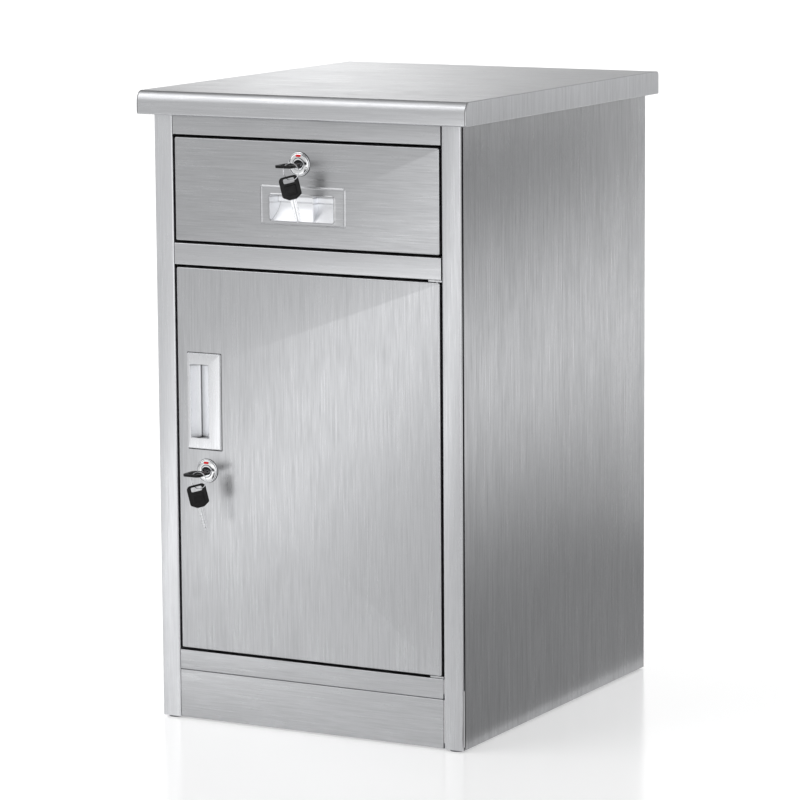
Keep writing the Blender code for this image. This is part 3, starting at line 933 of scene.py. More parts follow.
@dataclass
class Carcass:
    """Posts, cross members, side panels and back.

    Attributes:
        sheet: the thickness of the folded sheets.
        bend: the outer radius of their folds.
        groove: the open joint between a front post and its side panel.
        side_return: how far a post turns back along the side, to that joint.
        end_gap: how far a cross member stops short of its place at each end.
        post_lip: how far a post's rear edge turns in.
        tighter: a cross member's folds, as a share of the bend.
        column: how far a side panel turns forward again at the rear.
    """

    sheet: float = 0.0012
    bend: float = 0.0020
    groove: float = 0.0040
    side_return: float = 0.0026
    end_gap: float = 0.0006
    post_lip: float = 0.012
    tighter: float = 0.7
    column: float = 0.0185

    def post(self, side: str) -> None:
        """A front post: face, a short return outside, a deep one inside and a lip behind it.

        Args:
            side: left or right.
        """
        limits = Limits.of(f"front_post_{side}")
        (left, right), (front, back) = limits.across(Axis.X), limits.across(Axis.Y)
        outer, inner, way = (left, right, 1) if side == "left" else (right, left, -1)
        line = [(outer, front + self.side_return), (outer, front), (inner, front), (inner, back),
                (inner - way * self.post_lip, back)]
        section = folded(line, way * self.sheet, self.bend) if way > 0 else self.turned_over(line)
        skin = Skin()
        skin.strip(section, *limits.across(Axis.Z), Axis.Z)
        place_piece(f"post_{side}", skin.mesh("post", 25), POST_STEEL[side].material(),
                    "cabinet", [f"front_post_{side}"])

    def turned_over(self, line: list[tuple[float, float]]) -> Array:
        """The section of a sheet that lies to the right of its line.

        Args:
            line: the visible line's corners.

        Returns:
            The closed section.
        """
        flipped = [(-u, v) for u, v in line]
        section = folded(flipped, self.sheet, self.bend)
        return section * np.array([-1.0, 1.0])

    def member(self, node: str, finish: Steel) -> None:
        """A cross member: an upright face with a return above and one below.

        Args:
            node: the CAD node that it stands for.
            finish: its steel.
        """
        limits = Limits.of(node)
        (front, back), (low, high) = limits.across(Axis.Y), limits.across(Axis.Z)
        line = [(back, high), (front, high), (front, low), (back, low)]
        skin = Skin()
        left, right = limits.across(Axis.X)
        section = folded(line, self.sheet, self.bend * self.tighter)
        skin.strip(section, left + self.end_gap, right - self.end_gap, Axis.X)
        place_piece(f"{node}_folded", skin.mesh(node, 25), finish.material(),
                    "cabinet", [node])

    def side(self, side: str) -> None:
        """A side panel that folds round the rear corner into a column.

        Args:
            side: left or right.
        """
        limits = Limits.of(f"side_panel_{side}")
        (left, right), (_, back) = limits.across(Axis.X), limits.across(Axis.Y)
        front = Limits.of(f"front_post_{side}").low[1] + self.side_return + self.groove
        outer, inner, way = (left, right, -1) if side == "left" else (right, left, 1)
        line = [(outer, front), (outer, back), (inner, back), (inner, back - self.column)]
        section = folded(line, self.sheet, self.bend) if way > 0 else self.turned_over(line)
        skin = Skin()
        skin.strip(section, *limits.across(Axis.Z), Axis.Z)
        place_piece(f"side_{side}", skin.mesh("side", 25), SIDE_STEEL.material(),
                    "cabinet", [f"side_panel_{side}"])

    def build(self) -> None:
        """Builds the carcass."""
        for side in ("left", "right"):
            self.post(side)
            self.side(side)
        for node in ("upper_rail", "bottom_rail", "kick_plate"):
            self.member(node, RAIL_STEEL)
        self.member("middle_rail", SHELF_RAIL_STEEL)
        BackPanel().build()


@dataclass
class Screws:
    """Pan-head screws with a cross recess.

    Attributes:
        name: the group's name.
        places: where each head's seat lies.
        faces: the axis that the heads face along.
        way: 1 or -1, the direction along that axis.
        radius, height: the size of a head.
        count: the points in each loop.
        slot_long, slot_narrow: half the cross's length and width, as shares of the radius.
    """

    name: str
    places: list[tuple[float, float, float]]
    faces: Axis
    way: int
    radius: float = 0.0034
    height: float = 0.0016
    count: int = 40
    slot_long: float = 0.55
    slot_narrow: float = 0.13

    def recess(self) -> Array:
        """The cross's outline: how far a long, narrow box along the nearer axis reaches.

        Returns:
            The outline's points.
        """
        turn = np.linspace(0, 2 * np.pi, self.count, endpoint=False)
        near = np.abs((turn + np.pi / 4) % (np.pi / 2) - np.pi / 4)
        long, narrow = self.radius * self.slot_long, self.radius * self.slot_narrow
        reach = np.minimum(long / np.cos(near), narrow / np.maximum(np.sin(near), 1e-6))
        return reach[:, None] * np.stack([np.cos(turn), np.sin(turn)], -1)

    def head(self) -> Array:
        """One head's loops: side, dome, then down into the recess.

        Returns:
            The loops of a head whose seat is at the origin.
        """
        ring, cross = circle(self.radius, self.count), self.recess()
        loops = [(ring, 0.0), (ring, 0.35), (ring * 0.94, 0.62), (ring * 0.80, 0.85),
                 (ring * 0.62, 1.0), (cross, 1.0), (cross * 0.85, 0.35)]
        return np.stack([lifted(loop, self.way * up * self.height, self.faces)
                         for loop, up in loops])

    def build(self, body: str, slot: str) -> None:
        """Builds all the heads as one piece.

        Args:
            body: the body that they move with.
            slot: the record's material slot; not used.
        """
        skin, head = Skin(), self.head()
        for place in self.places:
            skin.loft(head + np.array(place))
        place_piece(self.name, skin.mesh(self.name, 30), ZINC.material(), body)


@dataclass
class BackPanel:
    """The back: a sheet with a raised bead pressed round it, screwed to the side panels.

    Attributes:
        border: from the sheet's edge to the bead.
        bead: the bead's width and height.
        screw_border: from the sheet's edge to the screws.
        screw_end: how far the first and last screws lie from the sheet's ends.
        screws: how many there are in each row.
        joint: the gap beside each side panel.
        corner: the radius of the sheet's corners.
        rounding: how much a loop's corner radius grows with its distance from the edge.
    """

    border: float = 0.038
    bead: tuple[float, float] = (0.011, 0.0022)
    screw_border: float = 0.011
    screw_end: float = 0.03
    screws: int = 5
    joint: float = 0.0012
    corner: float = 0.0008
    rounding: float = 0.5

    def build(self) -> None:
        """Builds the sheet and its screws.

        The sheet's loops run from the middle of its outer face, over its edge, to its inner face.
        The bead's height is half a sine across its width.
        """
        limits = Limits.of("back_panel")
        (left, right), (low, high) = limits.across(Axis.X), limits.across(Axis.Z)
        inner, outer = limits.across(Axis.Y)
        sheet = outer - inner
        width, height = self.bead
        t = np.linspace(0, 1, 9)
        bead = np.stack([self.border + width * (1 - t), height * np.sin(t * np.pi)], -1)
        edge = rounded_edge(sheet * 0.4, 3)
        rows = [(by, rise) for by, rise in bead] + [(by, -deep) for by, deep in edge]
        rows += [(by, deep - sheet) for by, deep in edge[::-1]]
        rows += [(by, rise - sheet) for by, rise in bead[::-1]]
        left_edge, right_edge = left + self.joint, right - self.joint
        grid = [lifted(rectangle(left_edge + by, right_edge - by, low + by, high - by,
                                 self.corner + by * self.rounding, 6), outer + rise, Axis.Y)
                for by, rise in rows]
        skin = Skin()
        skin.loft(np.stack(grid))
        place_piece("back_sheet", skin.mesh("back_sheet", 30), SIDE_STEEL.material(), "cabinet",
                    ["back_panel"])
        across = (left + self.screw_border, right - self.screw_border)
        up = np.linspace(low + self.screw_end, high - self.screw_end, self.screws)
        places = [(float(x), outer, float(z)) for x in across for z in up]
        Screws("back_screws", places, Axis.Y, 1).build("cabinet", "zinc_steel")


@dataclass
class DrawerBox:
    """The drawer's sides and back: sheets with a hem folded inwards along the top.

    Attributes:
        hem: the hem's width and depth.
        bend: the outer radius of its folds.
        sheet: the sheets' thickness.
    """

    hem: tuple[float, float] = (0.0034, 0.0070)
    bend: float = 0.0016
    sheet: float = 0.0012

    def wall(self, node: str, flat: Axis, along: Axis, way: int) -> None:
        """One sheet.

        Args:
            node: the CAD node that it stands for.
            flat: the axis through the sheet.
            along: the axis that it runs along.
            way: 1 or -1, the side along the flat axis that is inside the drawer.
        """
        limits = Limits.of(node)
        (near, far), (low, high) = limits.across(flat), limits.across(Axis.Z)
        outside = near if way > 0 else far
        width, depth = self.hem
        line = [(0.0, low), (0.0, high), (width, high), (width, high - depth)]
        section = folded([(-u, v) for u, v in line], self.sheet, self.bend)
        section = section * np.array([-way, 1.0]) + np.array([outside, 0.0])
        skin = Skin()
        skin.strip(section, *limits.across(along), along)
        place_piece(f"{node}_hemmed", skin.mesh(node, 25), INNER_STEEL.material(), "drawer",
                    [node])

    def build(self) -> None:
        """Builds the sides and the back."""
        self.wall("drawer_side_left", Axis.X, Axis.Y, 1)
        self.wall("drawer_side_right", Axis.X, Axis.Y, -1)
        self.wall("drawer_back", Axis.Y, Axis.X, -1)


# ---------------------------------------------------------------- drawer and door fronts

@dataclass
class FoldedFront:
    """A drawer or door front: a sheet folded back on all four sides, cut out for its pull.

    Attributes:
        node: the CAD node that it stands for.
        body: the body that it moves with.
        finish: its steel.
        mouth: the pull's opening: left, right, low and high in the row frame.
        sheet: its thickness.
        bend: the outer radius of its folds.
        corner: the radius of its corners.
        cut_clear: how much larger the cut-out is than the pull's opening.
        cut_corner: the radius of the cut-out's corners.
    """

    node: str
    body: str
    finish: Steel
    mouth: tuple[float, float, float, float]
    sheet: float = 0.0012
    bend: float = 0.0015
    corner: float = 0.0022
    cut_clear: float = 0.0016
    cut_corner: float = 0.004

    def cut_out(self) -> tuple[float, float, float, float]:
        """The cut-out's limits, a little larger than the pull's opening."""
        left, right, low, high = self.mouth
        return (left - self.cut_clear, right + self.cut_clear, low - self.cut_clear,
                high + self.cut_clear)

    def build(self) -> None:
        """Builds the front.

        Its loops run from the cut-out's front edge over the rounded edge, down the return, round
        its rim, up inside and across the back of the sheet to the cut-out again.
        """
        limits = Limits.of(self.node)
        (left, right), (low, high) = limits.across(Axis.X), limits.across(Axis.Z)
        front, back = limits.across(Axis.Y)
        edge = rounded_edge(self.bend, 6)
        hidden = edge * (self.bend - self.sheet) / self.bend + self.sheet
        depth = back - front
        rows = np.concatenate([edge, [[0.0, depth], [self.sheet, depth]], hidden[::-1]])
        outline = [rectangle(left + by, right - by, low + by, high - by,
                             max(self.corner - by, 0.0002)) for by, _ in rows]
        hole = rectangle(*self.cut_out(), self.cut_corner)
        loops = [hole, *outline, hole]
        places = [0.0, *rows[:, 1], self.sheet]
        grid = np.stack([lifted(loop, front + place, Axis.Y) for loop, place in zip(loops, places)])
        skin = Skin()
        skin.grid(grid, wrap_rows=True)
        place_piece(f"{self.node}_folded", skin.mesh(self.node, 25), self.finish.material(),
                    self.body, [self.node])


@dataclass(frozen=True)
class ScoopSizes:
    """The sizes of the drawer's cup.

    Attributes:
        ledge: how far down the flat ledge under the upper edge reaches.
        step: how much shallower the ledge is than the floor beside it.
        foot: the floor's depth at the lower edge.
        web_place: the upright web's distance from the left.
        web_deep: the depth of the web's crest.
        web_half: half the crest's width.
        web_steep: how steeply the web's sides fall.
        wall_start: how much deeper than the lip the left wall starts.
        wall_steep: how steeply the left wall falls.
    """

    ledge: float = 0.0085
    step: float = 0.0024
    foot: float = 0.0032
    web_place: float = 0.0570
    web_deep: float = 0.0028
    web_half: float = 0.0007
    web_steep: float = 9.0
    wall_start: float = 0.0004
    wall_steep: float = 1.7


@dataclass(frozen=True)
class ValleySizes:
    """The sizes of the door's cup.

    Attributes:
        place: where the crease lies, as a share of the width.
        groove: how much deeper the crease is than its sides, and its half width.
        left_deep, right_deep: the depth at the left and the right edge.
        curve: the power that both sides' curves have.
    """

    place: float = 0.33
    groove: tuple[float, float] = (0.0012, 0.0006)
    left_deep: float = 0.0025
    right_deep: float = 0.0060
    curve: float = 1.5


@dataclass(frozen=True)
class Crease:
    """A line of painted shade in a cup, where a crease, corner or lip edge lies in shade: a bell curve
    across it.

    Attributes:
        inset: how far it lies from the edge that it follows.
        width: the bell's half width.
        amount: the painted shade on the line itself, from 0 to 1.
    """

    inset: float
    width: float
    amount: float

    def painted_shade(self, distance: Array) -> Array:
        """The painted shade at a distance: amount * exp(-((distance - inset) / width) squared)."""
        return self.amount * np.exp(-((distance - self.inset) / self.width) ** 2)


SCOOP = ScoopSizes()
VALLEY = ValleySizes()
# Lines of painted shade in the cups: under the upper edge and under the drawer cup's ledge, along the
# foot of its left wall, along the door cup's crease and broadly beside it, in the shadow under its
# right lip, and along its lower edge.
UPPER_CORNER = Crease(0.0019, 0.0009, 0.55)
UNDER_LEDGE = Crease(0.0088, 0.0006, 0.55)
WALL_FOOT = Crease(0.0, 0.0006, 0.40)
VALLEY_CREASE = Crease(0.0, 0.0008, 0.80)
VALLEY_RIGHT = Crease(0.0, 0.0055, 0.48)
VALLEY_LEFT = Crease(0.0, 0.0055, 0.16)
VALLEY_EDGE = Crease(0.0042, 0.0011, 0.9)
VALLEY_FOOT = Crease(0.0, 0.0009, 0.5)


class PullShape(Enum):
    """How a pull's cup is hollowed."""

    SCOOP = "scoop"      # deep under the upper edge, rising towards the lower one
    VALLEY = "valley"    # an upright valley near the left edge


@dataclass
class Pull:
    """A recessed pull: a flange on the panel round a pressed finger cup.

    Attributes:
        node: the CAD node that it stands for.
        body: the body that it moves with.
        mouth: the opening's limits, in metres in the row frame.
        shape: how its cup is hollowed.
        flange: the flange's steel.
        slot: the record's material slot.
        corner: the opening's corner radius.
        depth: the cup's greatest depth.
        wall: the cup's thickness.
        lip: the radius of the flange's edge round the opening.
        back_gap: how far the flange's rear stays in front of the panel.
        margin: the share of a margin that the lip's loops may take.
        widest: how far the lip's last loop lies from the opening where there is room.
    """

    node: str
    body: str
    mouth: tuple[float, float, float, float]
    shape: PullShape
    flange: Steel
    slot: str
    corner: float
    depth: float = 0.0136
    wall: float = 0.0008
    lip: float = 0.0009
    back_gap: float = 0.00005
    margin: float = 0.42
    widest: float = 0.0038

    def scoop(self, x: Array, z: Array) -> tuple[Array, Array]:
        """A cup that is deep above and rises along a quarter of a cosine to its lower edge.

        A flat ledge lies under the upper edge. An upright web with steep sides stands at a set
        distance from the left.

        Args:
            x, z: where the depth is wanted.

        Returns:
            The depth of the floor with its web, and of the left wall, which is a steep even slope.
        """
        left, _, low, high = self.mouth
        ledge = high - SCOOP.ledge
        t = np.clip((ledge - z) / (ledge - low), 0, 1)
        step = np.where(z > ledge, SCOOP.step, 0.0)
        beside = np.clip(np.abs(x - left - SCOOP.web_place) - SCOOP.web_half, 0, None)
        web = SCOOP.web_deep + SCOOP.web_steep * beside
        floor = SCOOP.foot + (self.depth - SCOOP.foot) * np.cos(t * np.pi / 2) - step
        wall = self.lip + SCOOP.wall_steep * (x - left) + SCOOP.wall_start
        return np.minimum(floor, web), wall

    def crease(self) -> float:
        """Where the valley's crease lies across the opening."""
        left, right, _, _ = self.mouth
        return left + VALLEY.place * (right - left)

    def valley(self, x: Array) -> Array:
        """A cup whose left side falls to an upright crease and whose right side rises from it.

        Each side is a power curve of the distance from the crease, and the crease itself is a
        narrow bell curve deeper.

        Args:
            x: where the depth is wanted.

        Returns:
            The depth at each place.
        """
        left, right, _, _ = self.mouth
        crease = self.crease()
        extra, narrow = VALLEY.groove
        fall = np.clip((crease - x) / (crease - left), 0, 1)
        rise = np.clip((x - crease) / (right - crease), 0, 1)
        deep = self.depth - extra
        down = deep - (deep - VALLEY.left_deep) * fall ** VALLEY.curve
        up = deep - (deep - VALLEY.right_deep) * rise ** VALLEY.curve
        groove = extra * np.exp(-((x - crease) / narrow) ** 2)
        return np.where(x < crease, down, up) + groove

    def cup(self) -> Array:
        """The cup as a grid: rows from low to high, columns from left to right.

        A row's half width shrinks near a round corner by radius minus the root of
        (radius squared - distance squared). The outermost ring of points is level with the
        flange, and the next one has the same place but lies at the cup's depth.

        Returns:
            The grid's points, with the depth behind the flange's face along Y.
        """
        left, right, low, high = self.mouth
        ease = (1 - np.cos(np.linspace(0, np.pi, 41))) / 2
        across = np.linspace(-1, 1, 241)
        z = low + (high - low) * np.concatenate([[0], ease, [1]])
        s = np.concatenate([[-1], across, [1]])
        near = np.clip(self.corner - np.minimum(z - low, high - z), 0, self.corner)
        shrink = self.corner - np.sqrt(self.corner ** 2 - near ** 2)
        half = (right - left) / 2 - shrink
        x = (left + right) / 2 + s[None] * half[:, None]
        z = np.broadcast_to(z[:, None], x.shape)
        scooped = self.shape is PullShape.SCOOP
        depth = np.minimum(*self.scoop(x, z)) if scooped else self.valley(x)
        depth[[0, -1]] = self.lip
        depth[:, [0, -1]] = self.lip
        return np.stack([x, depth, z], -1)

    def painted_shade(self, x: Array, z: Array) -> Array:
        """How much shade is painted, from 0 to 1, along the cup's creases and corners and under its
        edges and lips.

        Args:
            x, z: where it is wanted.

        Returns:
            The painted shade at each place.
        """
        _, right, low, high = self.mouth
        corner = UPPER_CORNER.painted_shade(high - z)
        if self.shape is PullShape.VALLEY:
            past = x - self.crease()
            beside = np.where(past > 0, VALLEY_RIGHT.painted_shade(past), VALLEY_LEFT.painted_shade(past))
            taper = np.clip((z - low) / (high - low) * 1.25 - 0.15, 0, 1)
            edge = VALLEY_EDGE.painted_shade(right - x) * taper
            foot = VALLEY_FOOT.painted_shade(z - low)
            return np.clip(np.maximum(VALLEY_CREASE.painted_shade(past), beside) + edge + corner + foot, 0, 1)
        floor, wall = self.scoop(x, z)
        under = UNDER_LEDGE.painted_shade(high - z)
        return np.clip(np.maximum(under, corner) + WALL_FOOT.painted_shade(floor - wall), 0, 1)

    def build_cup(self, face: float) -> None:
        """The cup, as a pressed sheet with a thickness.

        Args:
            face: where the flange's face lies along Y.
        """
        skin = Skin()
        grid = self.cup()
        grid[..., 1] += face
        skin.grid(grid, wrap_columns=False)
        mesh = skin.mesh(f"{self.node}_cup", 28)
        self.face_front(mesh)
        places = np.empty(len(mesh.vertices) * 3)
        mesh.vertices.foreach_get("co", places)
        places = places.reshape(-1, 3)
        # The cup's painted shade along its creases, under its ledge and under its lips is stored on its
        # points for the chrome to darken by.
        mesh.attributes.new("painted_shade", "FLOAT", "POINT").data.foreach_set(
            "value", self.painted_shade(places[:, 0], places[:, 2]).astype(np.float32))
        thing = place_piece(f"{self.node}_cup", mesh, CUP_CHROME.material(), self.body)
        wall = thing.modifiers.new("wall", "SOLIDIFY")
        wall.thickness = self.wall
        wall.offset = -1.0

    def build_flange(self, limits: Limits, proud: float) -> None:
        """The flange: closed rows of loops from the opening over its face to its edge and back.

        Where a margin is narrow, the lip's loops are squeezed towards the opening.

        Args:
            limits: the flange's box.
            proud: how far its face stands in front of the panel.
        """
        (left, right), (low, high) = limits.across(Axis.X), limits.across(Axis.Z)
        face = float(limits.low[1])
        in_left, in_right, in_low, in_high = self.mouth
        back = proud - self.back_gap
        room = self.margin * np.array([in_left - left, right - in_right, in_low - low,
                                       high - in_high])
        squeeze = np.minimum(1.0, room / self.widest)
        lip = [(self.lip - by, deep) for by, deep in rounded_edge(self.lip, 5)[::-1]]
        rows: list[tuple[Array, float]] = []
        for by, deep in [(0.0, back), *lip, *self.lip_rows()]:
            out = by * squeeze
            rows.append((rectangle(in_left - out[0], in_right + out[1], in_low - out[2],
                                   in_high + out[3], self.corner + by, 8), deep))
        for by, deep in self.edge_rows(back) + [(0.0, back)]:
            out = by * squeeze
            rows.append((rectangle(left + out[0], right - out[1], low + out[2], high - out[3],
                                   max(self.edge_corner() - by, 0.0003), 8), deep))
        skin = Skin()
        skin.grid(np.stack([lifted(loop, face + deep, Axis.Y) for loop, deep in rows]),
                  wrap_rows=True)
        place_piece(f"{self.node}_flange", skin.mesh(f"{self.node}_flange", 24),
                    self.flange.material(), self.body, [self.node])

    def build_shadow_strip(self, limits: Limits, panel: float) -> None:
        """A thin black strip that shows round the plate's edge, standing in for the plate's shadow on
        the panel: painted shadow.

        Args:
            limits: the plate's box.
            panel: where the panel's face lies along Y.
        """
        (left, right), (low, high) = limits.across(Axis.X), limits.across(Axis.Z)
        rows = [(0.004, 0.0), (0.004, 0.0002), (-0.0004, 0.0002), (-0.0007, 0.0001), (-0.0007, 0.0)]
        loops = [lifted(rectangle(left + by, right - by, low + by, high - by, 0.0014, 6),
                        panel - up, Axis.Y) for by, up in rows]
        skin = Skin()
        skin.grid(np.stack(loops), wrap_rows=True)
        place_piece(f"{self.node}_shadow_strip", skin.mesh(f"{self.node}_shadow_strip", 30), BLACK.material(),
                    self.body)

    def edge_corner(self) -> float:
        """The radius of the flange's own corners."""
        return 0.0034 if self.shape is PullShape.SCOOP else 0.0012

    def lip_rows(self) -> list[tuple[float, float]]:
        """How far out from the opening and how deep the lip's further loops lie."""
        if self.shape is PullShape.VALLEY:
            return [(0.0012, 0.0)]
        return [(0.0012, 0.0), (0.0016, 0.0003), (0.0021, 0.0006), (0.0030, 0.0007)]

    def edge_rows(self, back: float) -> list[tuple[float, float]]:
        """How far in from the flange's edge and how deep its outer loops lie.

        The drawer's flange ends in a bead, half a sine across; the door's in a sloping edge.

        Args:
            back: the flange's rear, behind its face.

        Returns:
            The rows, from inside to outside.
        """
        if self.shape is PullShape.VALLEY:
            return [(0.0018, 0.0), (0.0015, 0.00006), (0.0008, 0.0008), (0.0005, 0.0013),
                    (0.0003, 0.0020), (0.0, back - 0.0001)]
        t = np.linspace(0, 1, 9)
        bead = np.stack([0.0031 - 0.0024 * t, 0.0007 * (1 - np.sin(t * np.pi))], -1)
        return [(0.0038, 0.0007), *map(tuple, bead), (0.0004, 0.0009), (0.0, back - 0.0001)]

    def build(self) -> None:
        """Builds the flange, the black strip of painted shadow round it where there is one, and the
        cup.
        """
        limits = Limits.of(self.node)
        panel = Limits.of("drawer_front" if self.body == "drawer" else "door_outer").low[1]
        self.build_flange(limits, float(panel - limits.low[1]))
        if self.shape is PullShape.VALLEY:
            self.build_shadow_strip(limits, float(panel))
        self.build_cup(float(limits.low[1]))

    def face_front(self, mesh: bpy.types.Mesh) -> None:
        """Turns an open sheet's faces towards the front.

        Args:
            mesh: the open sheet.
        """
        normal = np.empty(len(mesh.polygons) * 3)
        mesh.polygons.foreach_get("normal", normal)
        area = np.empty(len(mesh.polygons))
        mesh.polygons.foreach_get("area", area)
        if (normal.reshape(-1, 3)[:, 1] * area).sum() > 0:
            mesh.flip_normals()


# ---------------------------------------------------------------- locks and keys

@dataclass
class LockSet:
    """A cam lock: its chrome face, plug, key, ring and spare key.

    Attributes:
        prefix: drawer or door.
        tilt, facing: how the spare key leans and turns, in degrees.
        bow_width, bow_length, bow_thick: a key head's size.
        neck: half a head's width at the blade, and how far the head widens along its length.
        blade_width, blade_thick: a blade's size.
        inserted_length, spare_length: the two blades' lengths.
        key_start: where the inserted key's head ends, in front of the lock.
        pad_place: from a head's end at the blade to its pad's middle.
        spare_centre, spare_top: the spare head's middle, and its window's upper part.
        plug_radius, oval, keyway: the plug, and half the sizes of its oval and its keyway.
        ring_drop: how far the ring's middle hangs below its pivot.
        barrel_end: how far back the barrel reaches.
        sides: the sides of a round piece.
        sharp: the angle past which an edge is sharp, in degrees.
    """

    prefix: str
    tilt: float = 13.0
    facing: float = 35.0
    bow_width: float = 0.023
    bow_length: float = 0.0277
    bow_thick: float = 0.0032
    neck: float = 0.0045
    blade_width: float = 0.0076
    blade_thick: float = 0.002
    inserted_length: float = 0.029
    spare_length: float = 0.027
    key_start: float = -0.0123
    pad_place: float = 0.0112
    spare_centre: float = -0.0028
    spare_top: float = 0.0026
    plug_radius: float = 0.0070
    oval: tuple[float, float] = (0.0062, 0.0050)
    keyway: tuple[float, float] = (0.0042, 0.0014)
    ring_drop: float = 0.0055
    barrel_end: float = 0.021
    sides: int = 64
    sharp: float = 30.0

    def lock_matrix(self) -> Matrix:
        """From the lock's own axes to the row frame."""
        return Matrix.Translation(Vector(joint_place(f"{self.prefix}_lock_turn")))

    def add(self, name: str, skin: Skin, finish: Steel | Plated | Moulded, part: str, slot: str,
            stands_for: Sequence[str] = (), matrix: Optional[Matrix] = None) -> None:
        """Moves a piece from the lock's axes into place and adds it.

        Args:
            name: the piece's name, without the prefix.
            skin: the piece in the lock's axes, or in the matrix's.
            finish: its finish.
            part: seat, for the panel that holds the lock, or plug, key, ring or spare.
            slot: the record's material slot; not used.
            stands_for: the CAD nodes that it replaces, without the prefix.
            matrix: its place, if not the lock's.
        """
        skin.move(matrix or self.lock_matrix())
        body = self.prefix if part == "seat" else f"{self.prefix}_{part}"
        place_piece(f"{self.prefix}_{name}", skin.mesh(name, self.sharp), finish.material(), body,
                    [f"{self.prefix}_{node}" for node in stands_for])

    def housing(self) -> None:
        """The face, a black ring behind its rim that stands in for the rim's shadow, and its red mark.

        The face is a rolled rim round a dished ring, on a barrel whose thread is a cosine wave.
        """
        rim = [(0.0142, -0.0002), (0.0142, -0.0012), (0.01405, -0.0016), (0.0137, -0.0018),
               (0.0134, -0.0015), (0.0133, -0.0008), (0.0130, -0.0008), (0.0129, -0.0014),
               (0.0126, -0.0019), (0.0121, -0.0023), (0.0113, -0.0026), (0.0102, -0.00283),
               (0.0088, -0.00297), (0.0079, -0.0030), (0.0075, -0.0029), (0.0073, -0.0026)]
        pitch = 0.001
        start, end = 0.0012, 0.0205
        along = np.arange(start, end, pitch / 4)
        thread = [(0.0087 - 0.0003 * math.cos(2 * math.pi * y / pitch), y) for y in along]
        profile = rim + [(0.0073, self.barrel_end), (0.0086, self.barrel_end)] + thread[::-1]
        self.add("lock_face", turned(profile, self.sides), SATIN, "seat", "polished_chrome",
                 ["lock_housing"])
        # A black ring just wider than the face, standing in for the shadow round the face's rim:
        # painted shadow.
        shadow_ring = [(0.0120, 0.0), (0.0120, -0.0003), (0.0145, -0.0003), (0.01465, -0.00015),
                  (0.01465, 0.0)]
        self.add("lock_shadow_ring", turned(shadow_ring, self.sides), BLACK, "seat", "black_plastic")
        mark = Skin()
        rows = np.array([[0.0004, 0.0], [0.0, 0.00015], [0.0, 0.0006]])
        loops = [lifted(rectangle(-0.0031 + by, 0.0031 - by, 0.0086 + by, 0.0113 - by, 0.0006, 4),
                        -0.0033 + back, Axis.Y) for by, back in rows]
        mark.loft(np.stack(loops))
        self.add("lock_mark", mark, RED, "seat", "polished_chrome")

    def plug(self) -> None:
        """The plug: a bright rim round a sunk oval, a black shutter in the oval that also paints the
        shade round the inserted key, and the keyway.
        """
        count = 72
        angles = np.linspace(0, 2 * np.pi, count, endpoint=False)
        outer = circle(self.plug_radius, count)
        oval = circle(1.0, count) * np.array(self.oval)
        wide, tall = self.keyway
        slot = by_angle(rectangle(-wide, wide, -tall, tall, 0.0008, 4), np.zeros(2), angles)
        rim = [(outer, self.barrel_end), (outer, -0.0028), (outer * 0.97, -0.0032),
               (outer * 0.92, -0.0033), (oval * 1.04, -0.0033), (oval, -0.0031), (oval, -0.0016),
               (slot, -0.0016), (slot, 0.0172)]
        skin = Skin()
        skin.loft(np.stack([lifted(loop, place, Axis.Y) for loop, place in rim]))
        self.add("plug_front", skin, CHROME, "plug", "polished_chrome", ["lock_plug"])
        # The black shutter is plastic, and it also stands in for the shade round the inserted key's
        # shank: partly painted shade.
        near = oval * 0.985
        rows = [(near, -0.0017), (near, -0.0027), (near * 0.95, -0.0030),
                (near * 0.4 + slot * 0.6, -0.0028), (slot * 1.02, -0.0022), (slot * 1.02, -0.0017)]
        shade_shutter = Skin()
        shade_shutter.grid(np.stack([lifted(loop, place, Axis.Y) for loop, place in rows]),
                     wrap_rows=True)
        self.add("plug_shade_shutter", shade_shutter, BLACK, "plug", "black_plastic")

    def bow_loops(self, centre: float, start: float, way: int,
                  window: tuple[float, float, float, float]) -> list[tuple[Array, float]]:
        """A key head as closed rows of loops: round its outer edge and through its window.

        Every loop is read at the same angles about the window's middle, so the rows between the
        window and the outer edge never cross.

        Args:
            centre: the head's middle, across it.
            start: the head's end at the blade.
            way: 1 or -1, the direction from there along the head.
            window: its window: left, right, low and high.

        Returns:
            Each loop with its place through the thickness.
        """
        half, thick = self.bow_width / 2, self.bow_thick / 2
        end = start + way * self.bow_length
        shoulder = start + way * self.neck
        corners = np.array([(centre - self.neck, start), (centre + self.neck, start),
                            (centre + half, shoulder), (centre + half, end),
                            (centre - half, end), (centre - half, shoulder)])
        if way < 0:
            corners = corners[::-1]
        radii = np.array([0.0015, 0.0015, 0.0022, 0.005, 0.005, 0.0022])
        radii = radii if way > 0 else radii[::-1]
        middle = np.array([(window[0] + window[1]) / 2, (window[2] + window[3]) / 2])
        angles = np.linspace(0, 2 * np.pi, 144, endpoint=False)
        soft = rounded_edge(0.0007, 4)
        rows: list[tuple[Array, float]] = []
        for side in (-1, 1):
            edge = soft if side < 0 else soft[::-1]
            for by, back in edge:
                tight = np.maximum(radii - by, 0.0004)
                outline = rounded(shifted(corners, by, True), tight, 8, True)
                rows.append((by_angle(outline, middle, angles), side * (thick - back)))
        small = rounded_edge(0.0005, 3)
        for side in (1, -1):
            edge = small if side > 0 else small[::-1]
            for by, back in edge:
                hole = rectangle(window[0] - by, window[1] + by, window[2] - by, window[3] + by,
                                 0.0015 + by, 6)
                rows.append((by_angle(hole, middle, angles), side * (thick - back)))
        return rows

